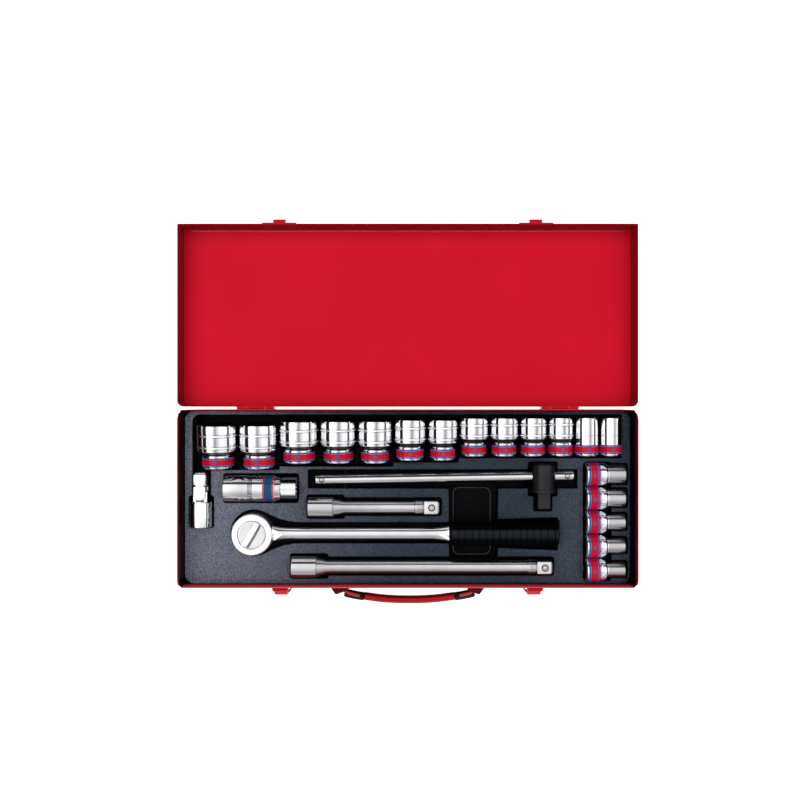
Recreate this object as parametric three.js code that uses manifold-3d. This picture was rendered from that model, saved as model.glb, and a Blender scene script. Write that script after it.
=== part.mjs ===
// A 1/2 inch socket wrench set in a folding sheet steel case.
// Millimetres, +Z up. The origin is the centre of the underside of the case's base. +X runs along the
// case, +Y points from the carrying handle towards the hinges. The lid lies open, turned right back.
import * as THREE from "three";
import { mergeVertices } from "three/addons/utils/BufferGeometryUtils.js";
import Module from "manifold-3d";

const wasm = await Module();
wasm.setup();

// ---- Case ----
const SHEET = 1; // thickness of the steel sheet
const GAP = 0.3; // running gap between neighbouring pieces
const BASE_WIDTH = 432;
const BASE_DEPTH = 169;
const RIM_Z = 36; // top of the base's front and rear walls
const SIDE_Z = 44.5; // top of the base's side walls
const SIDE_CORNER = 8; // radius of a side wall's upper corners
const BASE_CORNER = 2.5; // radius of the base's upright corners
const LID_WIDTH = 436.8;
const LID_LENGTH = 173.4;
const LID_HEIGHT = 22;
const LID_OVERLAP = 2.2; // how far the lid's rim passes the hinge axis
const LID_CORNERS = { hinge: 6, front: 1.5 }; // radii of the lid's upright corners

// ---- Hinges ----
const HINGE_Y = 87.2;
const HINGE_Z = 34.3;
const HINGE_X = 144.5; // centre of each hinge
const HINGE_LENGTH = 35;
const KNUCKLE_LENGTH = 8.3; // each outer knuckle
const KNUCKLE_RADIUS = 1.6;
const PIN_RADIUS = 0.7;
const LEAF_HEIGHT = 11;
const LEAF_THICKNESS = 0.8; // of the leaf on the base
const LID_LEAF_THICKNESS = 0.6;
const LEAF_FOOT = 1.2; // from the hinge axis down to the tongue that joins a leaf to its knuckles
const NOTCH = { side: 1, depth: 3, below: 0.4 }; // room round the knuckles in the lid's rear wall

// ---- Latches ----
const LATCH_X = 122;
const LATCH_PLATE = { width: 32.5, low: 6, high: 31 };
const LEVER_HALF = 6.2; // half of a lever's width
const LEVER_PIVOT = { y: -88.3, z: 27 };
const LEVER_PIN = 0.8; // radius of the pin through a latch's ears
const LEVER_BORE = 1.15;
const LEVER_EAR_GAP = 0.4; // between a lever and the ears beside it
const LOOP_PIVOT = { y: -91.5, z: 20 };
const LOOP_BORE = 1.65;
const LOOP_LENGTH = 17.47; // from a loop's pivot bar to its crossbar
const LOOP_HALF = 7.5; // from a loop's middle to the centre of a leg
const WIRE = 1.8; // thickness of a loop's wire

// A lever in section, Y and Z: a cover plate on a web that carries both pivots.
const LEVER_SECTION = [
  [-86.4, 27.6],
  [-87.5, 28.8],
  [-89.1, 28.8],
  [-92.2, 25.2],
  [-93.6, 24],
  [-95, 20],
  [-95.3, 15],
  [-94.6, 10],
  [-93.6, 7.4],
  [-92.6, 7.4],
  [-93.4, 12],
  [-93.2, 15.5],
  [-90.4, 17],
  [-88.6, 20],
  [-86.4, 26],
];

// A catch: a plate on the lid and a hook, given by their heights when the lid is closed.
const CATCH_PLATE = { low: 33, high: 46 };
const CATCH_HOOK = { low: 35.2, root: 36.1, tip: 40, half: 6, reach: 4.5, thickness: 0.8 };

// ---- Carrying handle ----
const HANDLE_PIVOT = { y: -89, z: 17.5 };
const BRACKET_X = 65;
const BRACKET_WIDTH = 14.6;
const BRACKET_HALF_HEIGHT = 10;
const EYE = { inset: 2, nose: 3.4, shoulder: 2.4, root: 7 }; // a bracket's eye round the pivot
const HANDLE_PIN = { radius: 2, bore: 2.3, sleeve: 9 }; // the handle's ends that turn in the eyes
const HANDLE_REACH = 18; // from the pivots to the middle of the grip
// Half of the bow's centre line, from a pivot towards the middle of the grip.
const HANDLE_BOW = [
  [52.8, -1.5],
  [53.5, -7.5],
  [46, -12.2],
  [24, -16.6],
];
const HANDLE_DROOP = 38; // degrees below level, where the grip rests just above the floor
const HANDLE_RADIUS = 3.9;

// ---- Tray ----
const TRAY_TOP = 24;
const TRAY_BOTTOM = 1.3;
const TRAY_CORNER = 9;
const ABOVE = 60; // pockets are cut up to this height
const CLEAR = 0.4; // room under a tool in its pocket
const TROUGH = { left: -207.8, right: 207.1, front: 48, rear: 79.8, floor: 16, corner: 7 };
const RIBS = { count: 6, thickness: 1, length: 13, below: 3 }; // between the widest sockets' bands
const FINGERS = { left: 39.9, right: 87.1, front: -60, rear: 10, floor: 8 };
const BAR_SLOT = { left: -96.2, right: 164, front: 8.5, rear: 26.9, floor: 14 };
const SADDLE = { x: -60, half: 2 }; // rib that carries the T bar
const PLUG_POCKET = { front: -5.5, rear: 23.2 };
const JOINT_NECK = { half: 9, front: 0, rear: 60 }; // beside the universal joint's forks
const JOINT_POCKET = { left: 12.7, right: 12, front: -29.6, rear: 1.7 };

// ---- Sockets ----
const DRIVE_SQUARE = 12.7;
const LIP = 2; // plain rim at a socket's drive end
const BAND = 8.5; // coloured band
const ROUND_SIDES = 16; // facets round a socket
const NECK = 5.3; // reduced neck between the band and the body
const WALL_RATIO = 0.72; // a hexagon's width across flats over the outer diameter
const ROW_LEFT = -201.5; // left end of the long row
const ROW_GAP = 1.74; // between one socket's body and the next
const ROW_AXIS_Z = 26; // height of the axis at the middle of a socket
const LEAN_PER_STEP = 0.5; // degrees of lean for each millimetre that the body is wider than the band

// The long row stands in four steps. Each gives the drive ends' place and the tray wall in front of them.
const STEPS = [
  { drive: 29, wall: 26.3 },
  { drive: 34.2, wall: 29.7 },
  { drive: 36.7, wall: 33.6 },
  { drive: 40.4, wall: 37.9 },
];

// The long row from left to right: the hexagon's size, outer diameters, length and step.
const ROW = [
  { size: 28, body: 38.5, band: 30.2, length: 41.5, step: 0 },
  { size: 27, body: 36.8, band: 29.7, length: 41.5, step: 0 },
  { size: 26, body: 37.1, band: 30, length: 40, step: 1 },
  { size: 24, body: 34.4, band: 28.2, length: 40, step: 1 },
  { size: 23, body: 33, band: 26.8, length: 40, step: 1 },
  { size: 22, body: 30.6, band: 26.2, length: 38.5, step: 2 },
  { size: 21, body: 28.8, band: 24, length: 38.5, step: 2 },
  { size: 20, body: 27.5, band: 23.6, length: 36.5, step: 3 },
  { size: 19, body: 26.8, band: 23.4, length: 36.5, step: 3 },
  { size: 18, body: 25.4, band: 23, length: 36.5, step: 3 },
  { size: 17, body: 23.8, band: 23, length: 36.5, step: 3 },
  { size: 16, body: 22.4, band: 22.8, length: 36.5, step: 3 },
  { size: 15, body: 20.9, band: 21.3, length: 36.5, step: 3 },
];

// The short column beside the handle end, from the hinge side to the handle side.
const COLUMN = [
  { size: 14, hexEnd: 18.4 },
  { size: 13, hexEnd: 17.3 },
  { size: 12, hexEnd: 15.6 },
  { size: 11, hexEnd: 14.9 },
  { size: 10, hexEnd: 14.3 },
];
const COLUMN_X = 170.4; // drive ends
const COLUMN_Y = 22.4; // first axis
const COLUMN_PITCH = 22.9;
const COLUMN_LENGTH = 38.1;
const COLUMN_DRIVE = 22.5; // diameter over the drive end
const COLUMN_SHOULDER = 18.9; // from the drive end to the slim hexagon end
const COLUMN_LIP = 1.2;
const COLUMN_POCKET = { left: 1.2, right: 4, shoulder: 7.4 }; // room beyond the sockets
const MOUTH = { depth: 1.2, flare: 2.2 }; // countersink at a socket's open end
const SQUARE_DEPTH = 16; // of a square recess in a long tool

// ---- Long tools ----
const TOOL_Z = 25; // height of the axes
const EXTENSIONS = {
  short: { x: -95.6, y: -9.1, length: 126, female: 19.5, shaft: 12 },
  long: { x: -111.4, y: -66.4, length: 250, female: 20.7, shaft: 12.6 },
};
const FEMALE_LENGTH = 24.4;
const TAPER_END = 34;
const MALE_LENGTH = 15;
const COLLAR_LENGTH = 7.8;
const BALL_RADIUS = 2.1;

const PLUG = { x: -108, y: 8.9, length: 67.6, body: 25.2, driveFlats: 19, driveLength: 12.4 };
const PLUG_TAPER = 18.6; // from the drive end to the full body

const BAR = { x: -88.5, y: 17.5, length: 248, diameter: 9.4, angle: 0.88 };
const SLIDER = { x: 130.3, y: 4.5, length: 28.6, radius: 11.3 };

const JOINT_TOOL = { x: -198.6, y: -28, female: 21.3, femaleLength: 24.5, centre: 31.5, length: 53 };
const FORK_RADIUS = 6.8;
const FORK_INNER = 3.6; // from the axis to a fork's inner face
const FORK_EYE = 3.5; // rounding of a fork's tip round its pin
const FORK_ROOT = 7; // from the joint's centre to the root of each fork
const CROSS = { half: 3.2, pin: 1.9, bore: 2.3 };

const RATCHET = { x: -148.1, y: -34.2, z: 26, head: 19.7, shaft: 5.6 };
const HEAD_HALF = 10; // half of the head's thickness
const DIAL_RADIUS = 13.4;
const GRIP = { start: 188.4, end: 291.8, inner: 5.3, front: 11, rear: 13 };
const FLARE_START = 176;
const HEAD_POCKET = { radius: 22.4, slot: 10.2, slotStart: 46, leave: 62 }; // leave is in degrees
const ANVIL = { radius: 9.5, bore: 9.8, tip: 2.6 }; // tip is the height of its square end
const DIAL = { sink: 2, bar: 3, height: 2, turn: -30 }; // bar is half of the finger bar's width

// ---- Materials ----
const paint = new THREE.MeshStandardMaterial({ color: 0xb8141f, roughness: 0.35, metalness: 0.1 });
const trayPlastic = new THREE.MeshStandardMaterial({ color: 0x34373d, roughness: 0.7, metalness: 0 });
const chrome = new THREE.MeshStandardMaterial({ color: 0xe6e6ea, roughness: 0.08, metalness: 1 });
const satin = new THREE.MeshStandardMaterial({ color: 0xa9a8ad, roughness: 0.35, metalness: 1 });
const blackened = new THREE.MeshStandardMaterial({ color: 0x2b2a2c, roughness: 0.5, metalness: 0.6 });
const gripRubber = new THREE.MeshStandardMaterial({ color: 0x11161b, roughness: 0.6, metalness: 0 });
const pinSteel = new THREE.MeshStandardMaterial({ color: 0x8a8a8e, roughness: 0.3, metalness: 1 });

// ---- Shape helpers ----
// A closed geometry as a manifold-3d solid.
function solid(geometry) {
  const bare = geometry.clone();
  bare.deleteAttribute("normal");
  bare.deleteAttribute("uv");
  const merged = mergeVertices(bare, 1e-4);
  const mesh = new wasm.Mesh({
    numProp: 3,
    vertProperties: new Float32Array(merged.attributes.position.array),
    triVerts: new Uint32Array(merged.index.array),
  });
  return new wasm.Manifold(mesh);
}

// A manifold-3d solid as a flat shaded geometry.
function geometryOf(body) {
  const mesh = body.getMesh();
  const geometry = new THREE.BufferGeometry();
  geometry.setAttribute("position", new THREE.BufferAttribute(mesh.vertProperties, 3));
  geometry.setIndex(new THREE.BufferAttribute(mesh.triVerts, 1));
  const flat = geometry.toNonIndexed();
  flat.computeVertexNormals();
  return flat;
}

function union(bodies) {
  return bodies.reduce((sum, body) => sum.add(body));
}

function block(x0, x1, y0, y1, z0, z1) {
  const geometry = new THREE.BoxGeometry(x1 - x0, y1 - y0, z1 - z0);
  geometry.translate((x0 + x1) / 2, (y0 + y1) / 2, (z0 + z1) / 2);
  return solid(geometry);
}

// A rectangle with a radius at each corner, in the order front left, front right, rear right, rear left.
function roundedOutline(x0, x1, y0, y1, radii) {
  const [frontLeft, frontRight, rearRight, rearLeft] = radii;
  const outline = new THREE.Shape();
  outline.moveTo(x0 + frontLeft, y0);
  outline.lineTo(x1 - frontRight, y0);
  if (frontRight) outline.absarc(x1 - frontRight, y0 + frontRight, frontRight, -Math.PI / 2, 0);
  outline.lineTo(x1, y1 - rearRight);
  if (rearRight) outline.absarc(x1 - rearRight, y1 - rearRight, rearRight, 0, Math.PI / 2);
  outline.lineTo(x0 + rearLeft, y1);
  if (rearLeft) outline.absarc(x0 + rearLeft, y1 - rearLeft, rearLeft, Math.PI / 2, Math.PI);
  outline.lineTo(x0, y0 + frontLeft);
  if (frontLeft) outline.absarc(x0 + frontLeft, y0 + frontLeft, frontLeft, Math.PI, 1.5 * Math.PI);
  return outline;
}

// An outline in X and Y, upright from z0 to z1.
function upright(outline, z0, z1, curveSegments = 3) {
  const options = { depth: z1 - z0, bevelEnabled: false, curveSegments };
  const geometry = new THREE.ExtrudeGeometry(outline, options);
  geometry.translate(0, 0, z0);
  return solid(geometry);
}

// An outline in Y and Z, drawn along X from x0 to x1.
function alongX(outline, x0, x1, curveSegments = 4) {
  const options = { depth: x1 - x0, bevelEnabled: false, curveSegments };
  const geometry = new THREE.ExtrudeGeometry(outline, options);
  const turn = new THREE.Matrix4().makeBasis(
    new THREE.Vector3(0, 1, 0),
    new THREE.Vector3(0, 0, 1),
    new THREE.Vector3(1, 0, 0),
  );
  geometry.applyMatrix4(turn);
  geometry.translate(x0, 0, 0);
  return solid(geometry);
}

function polygon(points) {
  return new THREE.Shape(points.map(([a, b]) => new THREE.Vector2(a, b)));
}

// A solid of revolution about Y. The profile lists radius and place, from the axis back to the axis.
function turned(profile, sides = 18) {
  const points = profile.map(([radius, place]) => new THREE.Vector2(radius, place));
  return solid(new THREE.LatheGeometry(points, sides));
}

// A bar about Y with the given number of flats, by its width across flats.
function prism(flats, across, y0, y1) {
  const radius = across / 2 / Math.cos(Math.PI / flats);
  const geometry = new THREE.CylinderGeometry(radius, radius, y1 - y0, flats);
  geometry.rotateY(Math.PI / flats);
  geometry.translate(0, (y0 + y1) / 2, 0);
  return solid(geometry);
}

// A round bar along X.
function rodX(radius, x0, x1, y, z, sides = 12) {
  const geometry = new THREE.CylinderGeometry(radius, radius, x1 - x0, sides);
  geometry.rotateZ(-Math.PI / 2);
  geometry.translate((x0 + x1) / 2, y, z);
  return solid(geometry);
}

// A round bar along Z.
function rodZ(radius, z0, z1, x = 0, y = 0, sides = 20) {
  const geometry = new THREE.CylinderGeometry(radius, radius, z1 - z0, sides);
  geometry.rotateX(Math.PI / 2);
  geometry.translate(x, y, (z0 + z1) / 2);
  return solid(geometry);
}

function mesh(name, body, material) {
  const piece = new THREE.Mesh(geometryOf(body), material);
  piece.name = name;
  return piece;
}

// ---- Case ----
function baseShell() {
  const x = BASE_WIDTH / 2;
  const y = BASE_DEPTH / 2;
  const corners = [BASE_CORNER, BASE_CORNER, BASE_CORNER, BASE_CORNER];
  const outer = upright(roundedOutline(-x, x, -y, y, corners), 0, RIM_Z, 2);
  const inner = block(-x + SHEET, x - SHEET, -y + SHEET, y - SHEET, SHEET, ABOVE);
  const side = new THREE.Shape();
  const flat = y - SIDE_CORNER - BASE_CORNER;
  const root = RIM_Z - 2 * SHEET;
  side.moveTo(-flat - SIDE_CORNER, root);
  side.lineTo(flat + SIDE_CORNER, root);
  side.lineTo(flat + SIDE_CORNER, SIDE_Z - SIDE_CORNER);
  side.absarc(flat, SIDE_Z - SIDE_CORNER, SIDE_CORNER, 0, Math.PI / 2);
  side.absarc(-flat, SIDE_Z - SIDE_CORNER, SIDE_CORNER, Math.PI / 2, Math.PI);
  const left = alongX(side, -x, -x + SHEET);
  const right = alongX(side, x - SHEET, x);
  return mesh("base_shell", outer.subtract(inner).add(left).add(right), paint);
}

function lidShell() {
  const x = LID_WIDTH / 2;
  const rear = HINGE_Y + GAP;
  const rim = HINGE_Z + LID_OVERLAP;
  const back = rim - LID_HEIGHT;
  const { hinge, front } = LID_CORNERS;
  const corners = [hinge, hinge, front, front];
  const insideCorners = corners.map((radius) => radius - SHEET / 2);
  const outer = upright(roundedOutline(-x, x, rear, rear + LID_LENGTH, corners), back, rim);
  const innerOutline = roundedOutline(
    -x + SHEET,
    x - SHEET,
    rear + SHEET,
    rear + LID_LENGTH - SHEET,
    insideCorners,
  );
  let shell = outer.subtract(upright(innerOutline, back + SHEET, ABOVE));
  const half = HINGE_LENGTH / 2 + NOTCH.side;
  const notchFloor = HINGE_Z - KNUCKLE_RADIUS - NOTCH.below;
  const notchRear = rear + NOTCH.depth;
  for (const centre of [-HINGE_X, HINGE_X]) {
    shell = shell.subtract(
      block(centre - half, centre + half, rear - SHEET, notchRear, notchFloor, ABOVE),
    );
  }
  return mesh("lid_shell", shell, paint);
}

// ---- Hinges ----
function knuckle(x0, x1) {
  return rodX(KNUCKLE_RADIUS, x0, x1, HINGE_Y, HINGE_Z);
}

function hingePieces(side, name) {
  const centre = side * HINGE_X;
  const start = centre - HINGE_LENGTH / 2;
  const end = centre + HINGE_LENGTH / 2;
  const bore = rodX(PIN_RADIUS + GAP, start - 1, end + 1, HINGE_Y, HINGE_Z);
  const wall = BASE_DEPTH / 2 + GAP;
  const leafRoot = HINGE_Z - LEAF_HEIGHT;
  const tongue = HINGE_Y - KNUCKLE_RADIUS * 0.7;
  const baseLeaf = union([
    block(start, end, wall, wall + LEAF_THICKNESS, leafRoot, HINGE_Z),
    ...[[start, start + KNUCKLE_LENGTH], [end - KNUCKLE_LENGTH, end]].map(([a, b]) =>
      union([
        knuckle(a, b),
        block(a, b, wall, tongue, HINGE_Z - LEAF_FOOT, HINGE_Z + LEAF_THICKNESS),
      ]),
    ),
  ]).subtract(bore);
  const left = start + KNUCKLE_LENGTH + NOTCH.below;
  const right = end - KNUCKLE_LENGTH - NOTCH.below;
  const leafFront = HINGE_Y - LID_LEAF_THICKNESS;
  const lidLeaf = union([
    block(start, end, leafFront, HINGE_Y, leafRoot, HINGE_Z - KNUCKLE_RADIUS - GAP),
    block(left, right, leafFront, HINGE_Y, leafRoot, HINGE_Z - LEAF_FOOT + 0.1),
    knuckle(left, right),
  ]).subtract(bore);
  const pin = rodX(PIN_RADIUS, start - 0.5, end + 0.5, HINGE_Y, HINGE_Z, 10);
  return [
    mesh("hinge_leaf_base_" + name, baseLeaf, paint),
    mesh("hinge_leaf_lid_" + name, lidLeaf, paint),
    mesh("hinge_pin_" + name, pin, pinSteel),
  ];
}

// ---- Latches ----
function latchPieces(side, name) {
  const x = side * LATCH_X;
  const wall = -BASE_DEPTH / 2 - GAP;
  const half = LATCH_PLATE.width / 2;
  const ear = LEVER_HALF + LEVER_EAR_GAP;
  const { y: pivotY, z: pivotZ } = LEVER_PIVOT;
  const earOutline = polygon([
    [wall - SHEET / 2, pivotZ - 4],
    [wall - SHEET / 2, pivotZ + 4],
    [pivotY, pivotZ + 2],
    [pivotY - 1, pivotZ + 1],
    [pivotY - 1, pivotZ - 1],
    [pivotY, pivotZ - 2],
  ]);
  const plate = union([
    block(x - half, x + half, wall - SHEET, wall, LATCH_PLATE.low, LATCH_PLATE.high),
    alongX(earOutline, x - ear - SHEET, x - ear),
    alongX(earOutline, x + ear, x + ear + SHEET),
    rodX(LEVER_PIN, x - ear - SHEET / 2, x + ear + SHEET / 2, pivotY, pivotZ, 10),
  ]);
  const left = x - LEVER_HALF;
  const right = x + LEVER_HALF;
  const lever = alongX(polygon(LEVER_SECTION), left, right)
    .subtract(rodX(LEVER_BORE, left - 1, right + 1, pivotY, pivotZ))
    .subtract(rodX(LOOP_BORE, left - 1, right + 1, LOOP_PIVOT.y, LOOP_PIVOT.z));

  // The loop hangs from the lever.
  const legs = LOOP_HALF + WIRE / 2;
  const low = LOOP_PIVOT.z - LOOP_LENGTH - WIRE / 2;
  const high = LOOP_PIVOT.z + WIRE / 2;
  const front = LOOP_PIVOT.y - WIRE / 2;
  const back = LOOP_PIVOT.y + WIRE / 2;
  const loop = block(x - legs, x + legs, front, back, low, high).subtract(
    block(x - legs + WIRE, x + legs - WIRE, front - 1, back + 1, low + WIRE, high - WIRE),
  );

  // The catch is on the lid's front wall, with a hook that points away from the base when closed.
  const face = HINGE_Y + GAP + LID_LENGTH + 0.2;
  const closed = (z) => 2 * HINGE_Z - z;
  const { low: hookLow, root: hookRoot, tip: hookTip, half: hookHalf } = CATCH_HOOK;
  const hookEnd = face + CATCH_HOOK.reach;
  const hookLip = hookEnd - CATCH_HOOK.thickness;
  const [hookX0, hookX1] = [x - hookHalf, x + hookHalf];
  const keeper = union([
    block(x - half, x + half, face, face + SHEET, closed(CATCH_PLATE.high), closed(CATCH_PLATE.low)),
    block(hookX0, hookX1, face + SHEET / 2, hookEnd, closed(hookRoot), closed(hookLow)),
    block(hookX0, hookX1, hookLip, hookEnd, closed(hookTip), closed(hookLow)),
  ]);
  return [
    mesh("latch_plate_" + name, plate, paint),
    mesh("latch_lever_" + name, lever, paint),
    mesh("latch_loop_" + name, loop, pinSteel),
    mesh("catch_" + name, keeper, paint),
  ];
}

// ---- Carrying handle ----
function handleBracket(side, name) {
  const wall = -BASE_DEPTH / 2 - GAP;
  const x0 = side * BRACKET_X - BRACKET_WIDTH / 2;
  const x1 = x0 + BRACKET_WIDTH;
  const { y, z } = HANDLE_PIVOT;
  const { nose, shoulder, root, inset } = EYE;
  const eye = polygon([
    [wall - SHEET / 2, z - root],
    [wall - SHEET / 2, z + root],
    [y, z + nose],
    [y - shoulder, z + shoulder],
    [y - nose, z],
    [y - shoulder, z - shoulder],
    [y, z - nose],
  ]);
  const bracket = union([
    block(x0, x1, wall - SHEET, wall, z - BRACKET_HALF_HEIGHT, z + BRACKET_HALF_HEIGHT),
    alongX(eye, x0 + inset, x1 - inset),
  ]).subtract(rodX(HANDLE_PIN.bore, x0 - 1, x1 + 1, y, z));
  return mesh("handle_bracket_" + name, bracket, paint);
}

// The handle is drawn level, straight out from its pivots, and turned down by its group.
function carryingHandle() {
  const arm = BRACKET_X - BRACKET_WIDTH / 2 - 1;
  const pin = BRACKET_X + BRACKET_WIDTH / 2 - 1;
  const bow = new THREE.CatmullRomCurve3([
    ...HANDLE_BOW.map(([x, y]) => new THREE.Vector3(-x, y, 0)),
    new THREE.Vector3(0, -HANDLE_REACH, 0),
    ...HANDLE_BOW.toReversed().map(([x, y]) => new THREE.Vector3(x, y, 0)),
  ]);
  const section = new THREE.Shape().absarc(0, 0, HANDLE_RADIUS, 0, 2 * Math.PI);
  const options = { steps: 18, extrudePath: bow, curveSegments: 4 };
  const body = union([
    solid(new THREE.ExtrudeGeometry(section, options)),
    rodX(HANDLE_PIN.radius, -pin, HANDLE_PIN.sleeve - arm, 0, 0),
    rodX(HANDLE_PIN.radius, arm - HANDLE_PIN.sleeve, pin, 0, 0),
  ]);
  const handle = mesh("carrying_handle", body, paint);
  const droop = new THREE.Group();
  droop.position.set(0, HANDLE_PIVOT.y, HANDLE_PIVOT.z);
  droop.rotation.x = THREE.MathUtils.degToRad(HANDLE_DROOP);
  droop.add(handle);
  return droop;
}

// ---- Places of the long row ----
function rowPlaces() {
  let left = ROW_LEFT;
  return ROW.map((socket) => {
    const x = left + socket.body / 2;
    left += socket.body + ROW_GAP;
    const lean = Math.max(0, (socket.body - socket.band) * LEAN_PER_STEP);
    const tilt = THREE.MathUtils.degToRad(lean);
    const z = ROW_AXIS_Z - (socket.length / 2) * Math.sin(tilt);
    return { ...socket, x, tilt, y: STEPS[socket.step].drive, z };
  });
}

// ---- Tray ----
// A pocket with upright walls, a flat floor and rounded corners.
function pocket(x0, x1, y0, y1, floor, radius = 2.5) {
  return upright(roundedOutline(x0, x1, y0, y1, [radius, radius, radius, radius]), floor, ABOVE);
}

// The part of a cradle under one diameter of a leaning socket.
function cradlePart(socket, radius, from, to) {
  const below = radius + 0.5;
  const floorAt = (y) =>
    socket.z + (y - socket.y) * Math.tan(socket.tilt) - below / Math.cos(socket.tilt);
  const half = (Math.max(socket.body, socket.band) + ROW_GAP) / 2 + 0.1;
  const outline = polygon([
    [from, floorAt(from)],
    [to, floorAt(to)],
    [to, ABOVE],
    [from, ABOVE],
  ]);
  return alongX(outline, socket.x - half, socket.x + half);
}

function cradle(socket) {
  const shoulder = socket.y + LIP + BAND + NECK - 2;
  return cradlePart(socket, socket.band / 2, STEPS[socket.step].wall, shoulder).add(
    cradlePart(socket, socket.body / 2, shoulder, TROUGH.rear),
  );
}

// The outline of the ratchet's pocket: round the head, with smooth shoulders into the shaft's slot.
function ratchetPocketOutline() {
  const { x, y } = RATCHET;
  const { radius, slot } = HEAD_POCKET;
  const slotStart = x + HEAD_POCKET.slotStart;
  const slotEnd = x + GRIP.start + 3;
  const leave = THREE.MathUtils.degToRad(HEAD_POCKET.leave);
  const outline = new THREE.Shape();
  outline.moveTo(slotStart, y + slot);
  outline.bezierCurveTo(
    x + 30,
    y + slot,
    x + radius * Math.cos(leave) + 9,
    y + radius * Math.sin(leave) - 4.8,
    x + radius * Math.cos(leave),
    y + radius * Math.sin(leave),
  );
  outline.absarc(x, y, radius, leave, 2 * Math.PI - leave);
  outline.bezierCurveTo(
    x + radius * Math.cos(leave) + 9,
    y - radius * Math.sin(leave) + 4.8,
    x + 30,
    y - slot,
    slotStart,
    y - slot,
  );
  outline.lineTo(slotEnd, y - slot);
  outline.lineTo(slotEnd, y + slot);
  return outline;
}

function ratchetPocket() {
  const { x, y, z } = RATCHET;
  const floor = z - HEAD_HALF - CLEAR;
  const gripFloor = z - GRIP.rear - CLEAR;
  const gripOutline = polygon([
    [x + GRIP.start - 0.6, y - 13.6],
    [x + 238, y - 14.6],
    [x + GRIP.end + 0.6, y - 17],
    [x + GRIP.end + 2.6, y - 8],
    [x + GRIP.end + 2.6, y + 11],
    [x + GRIP.end + 0.4, y + 14.8],
    [x + 238, y + 13.4],
    [x + GRIP.start - 0.6, y + 13.2],
  ]);
  return union([
    upright(ratchetPocketOutline(), floor, ABOVE, 10),
    upright(gripOutline, gripFloor, ABOVE),
    rodZ(ANVIL.radius + 1.5, 0, floor + 1, x, y),
  ]);
}

function extensionPocket({ x, y, length, female, shaft }) {
  const floor = TOOL_Z - female / 2 - CLEAR;
  return union([
    pocket(x - 1.8, x + TAPER_END + 1, y - female / 2 - 2, y + female / 2 + 2, floor),
    pocket(x, x + length + 2.6, y - shaft / 2 - 3, y + shaft / 2 + 3, floor),
  ]);
}

function columnPockets() {
  const left = COLUMN_X - COLUMN_POCKET.left;
  const right = COLUMN_X + COLUMN_LENGTH + COLUMN_POCKET.right;
  const shoulder = COLUMN_X + COLUMN_SHOULDER + COLUMN_POCKET.shoulder;
  const driveFloor = TOOL_Z - COLUMN_DRIVE / 2 - CLEAR;
  const last = COLUMN_Y - COLUMN_PITCH * (COLUMN.length - 1);
  const half = COLUMN_DRIVE / 2 + 0.8;
  const trough = pocket(left, shoulder, last - half, COLUMN_Y + half, driveFloor, 4);
  const slots = COLUMN.map((socket, i) => {
    const y = COLUMN_Y - i * COLUMN_PITCH;
    const slotHalf = socket.hexEnd / 2 + 1.4;
    const floor = TOOL_Z - socket.hexEnd / 2 - CLEAR;
    return pocket(shoulder - 6, right, y - slotHalf, y + slotHalf, floor, 2.5);
  });
  return union([trough, ...slots]);
}

function barPockets() {
  const sliderFloor = TOOL_Z - SLIDER.radius - CLEAR;
  const { x, y, length, radius } = SLIDER;
  const square = DRIVE_SQUARE / 2 + 2.6;
  return union([
    pocket(BAR_SLOT.left, BAR_SLOT.right, BAR_SLOT.front, BAR_SLOT.rear, BAR_SLOT.floor, 0.8),
    pocket(x - radius - 2.9, x + radius + 2.9, y - 3.4, y + length + 1.2, sliderFloor, 1.6),
    pocket(x - square, x + square, y - 18, y, TOOL_Z - DRIVE_SQUARE / 2 - 1.5, 1.6),
  ]);
}

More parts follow.
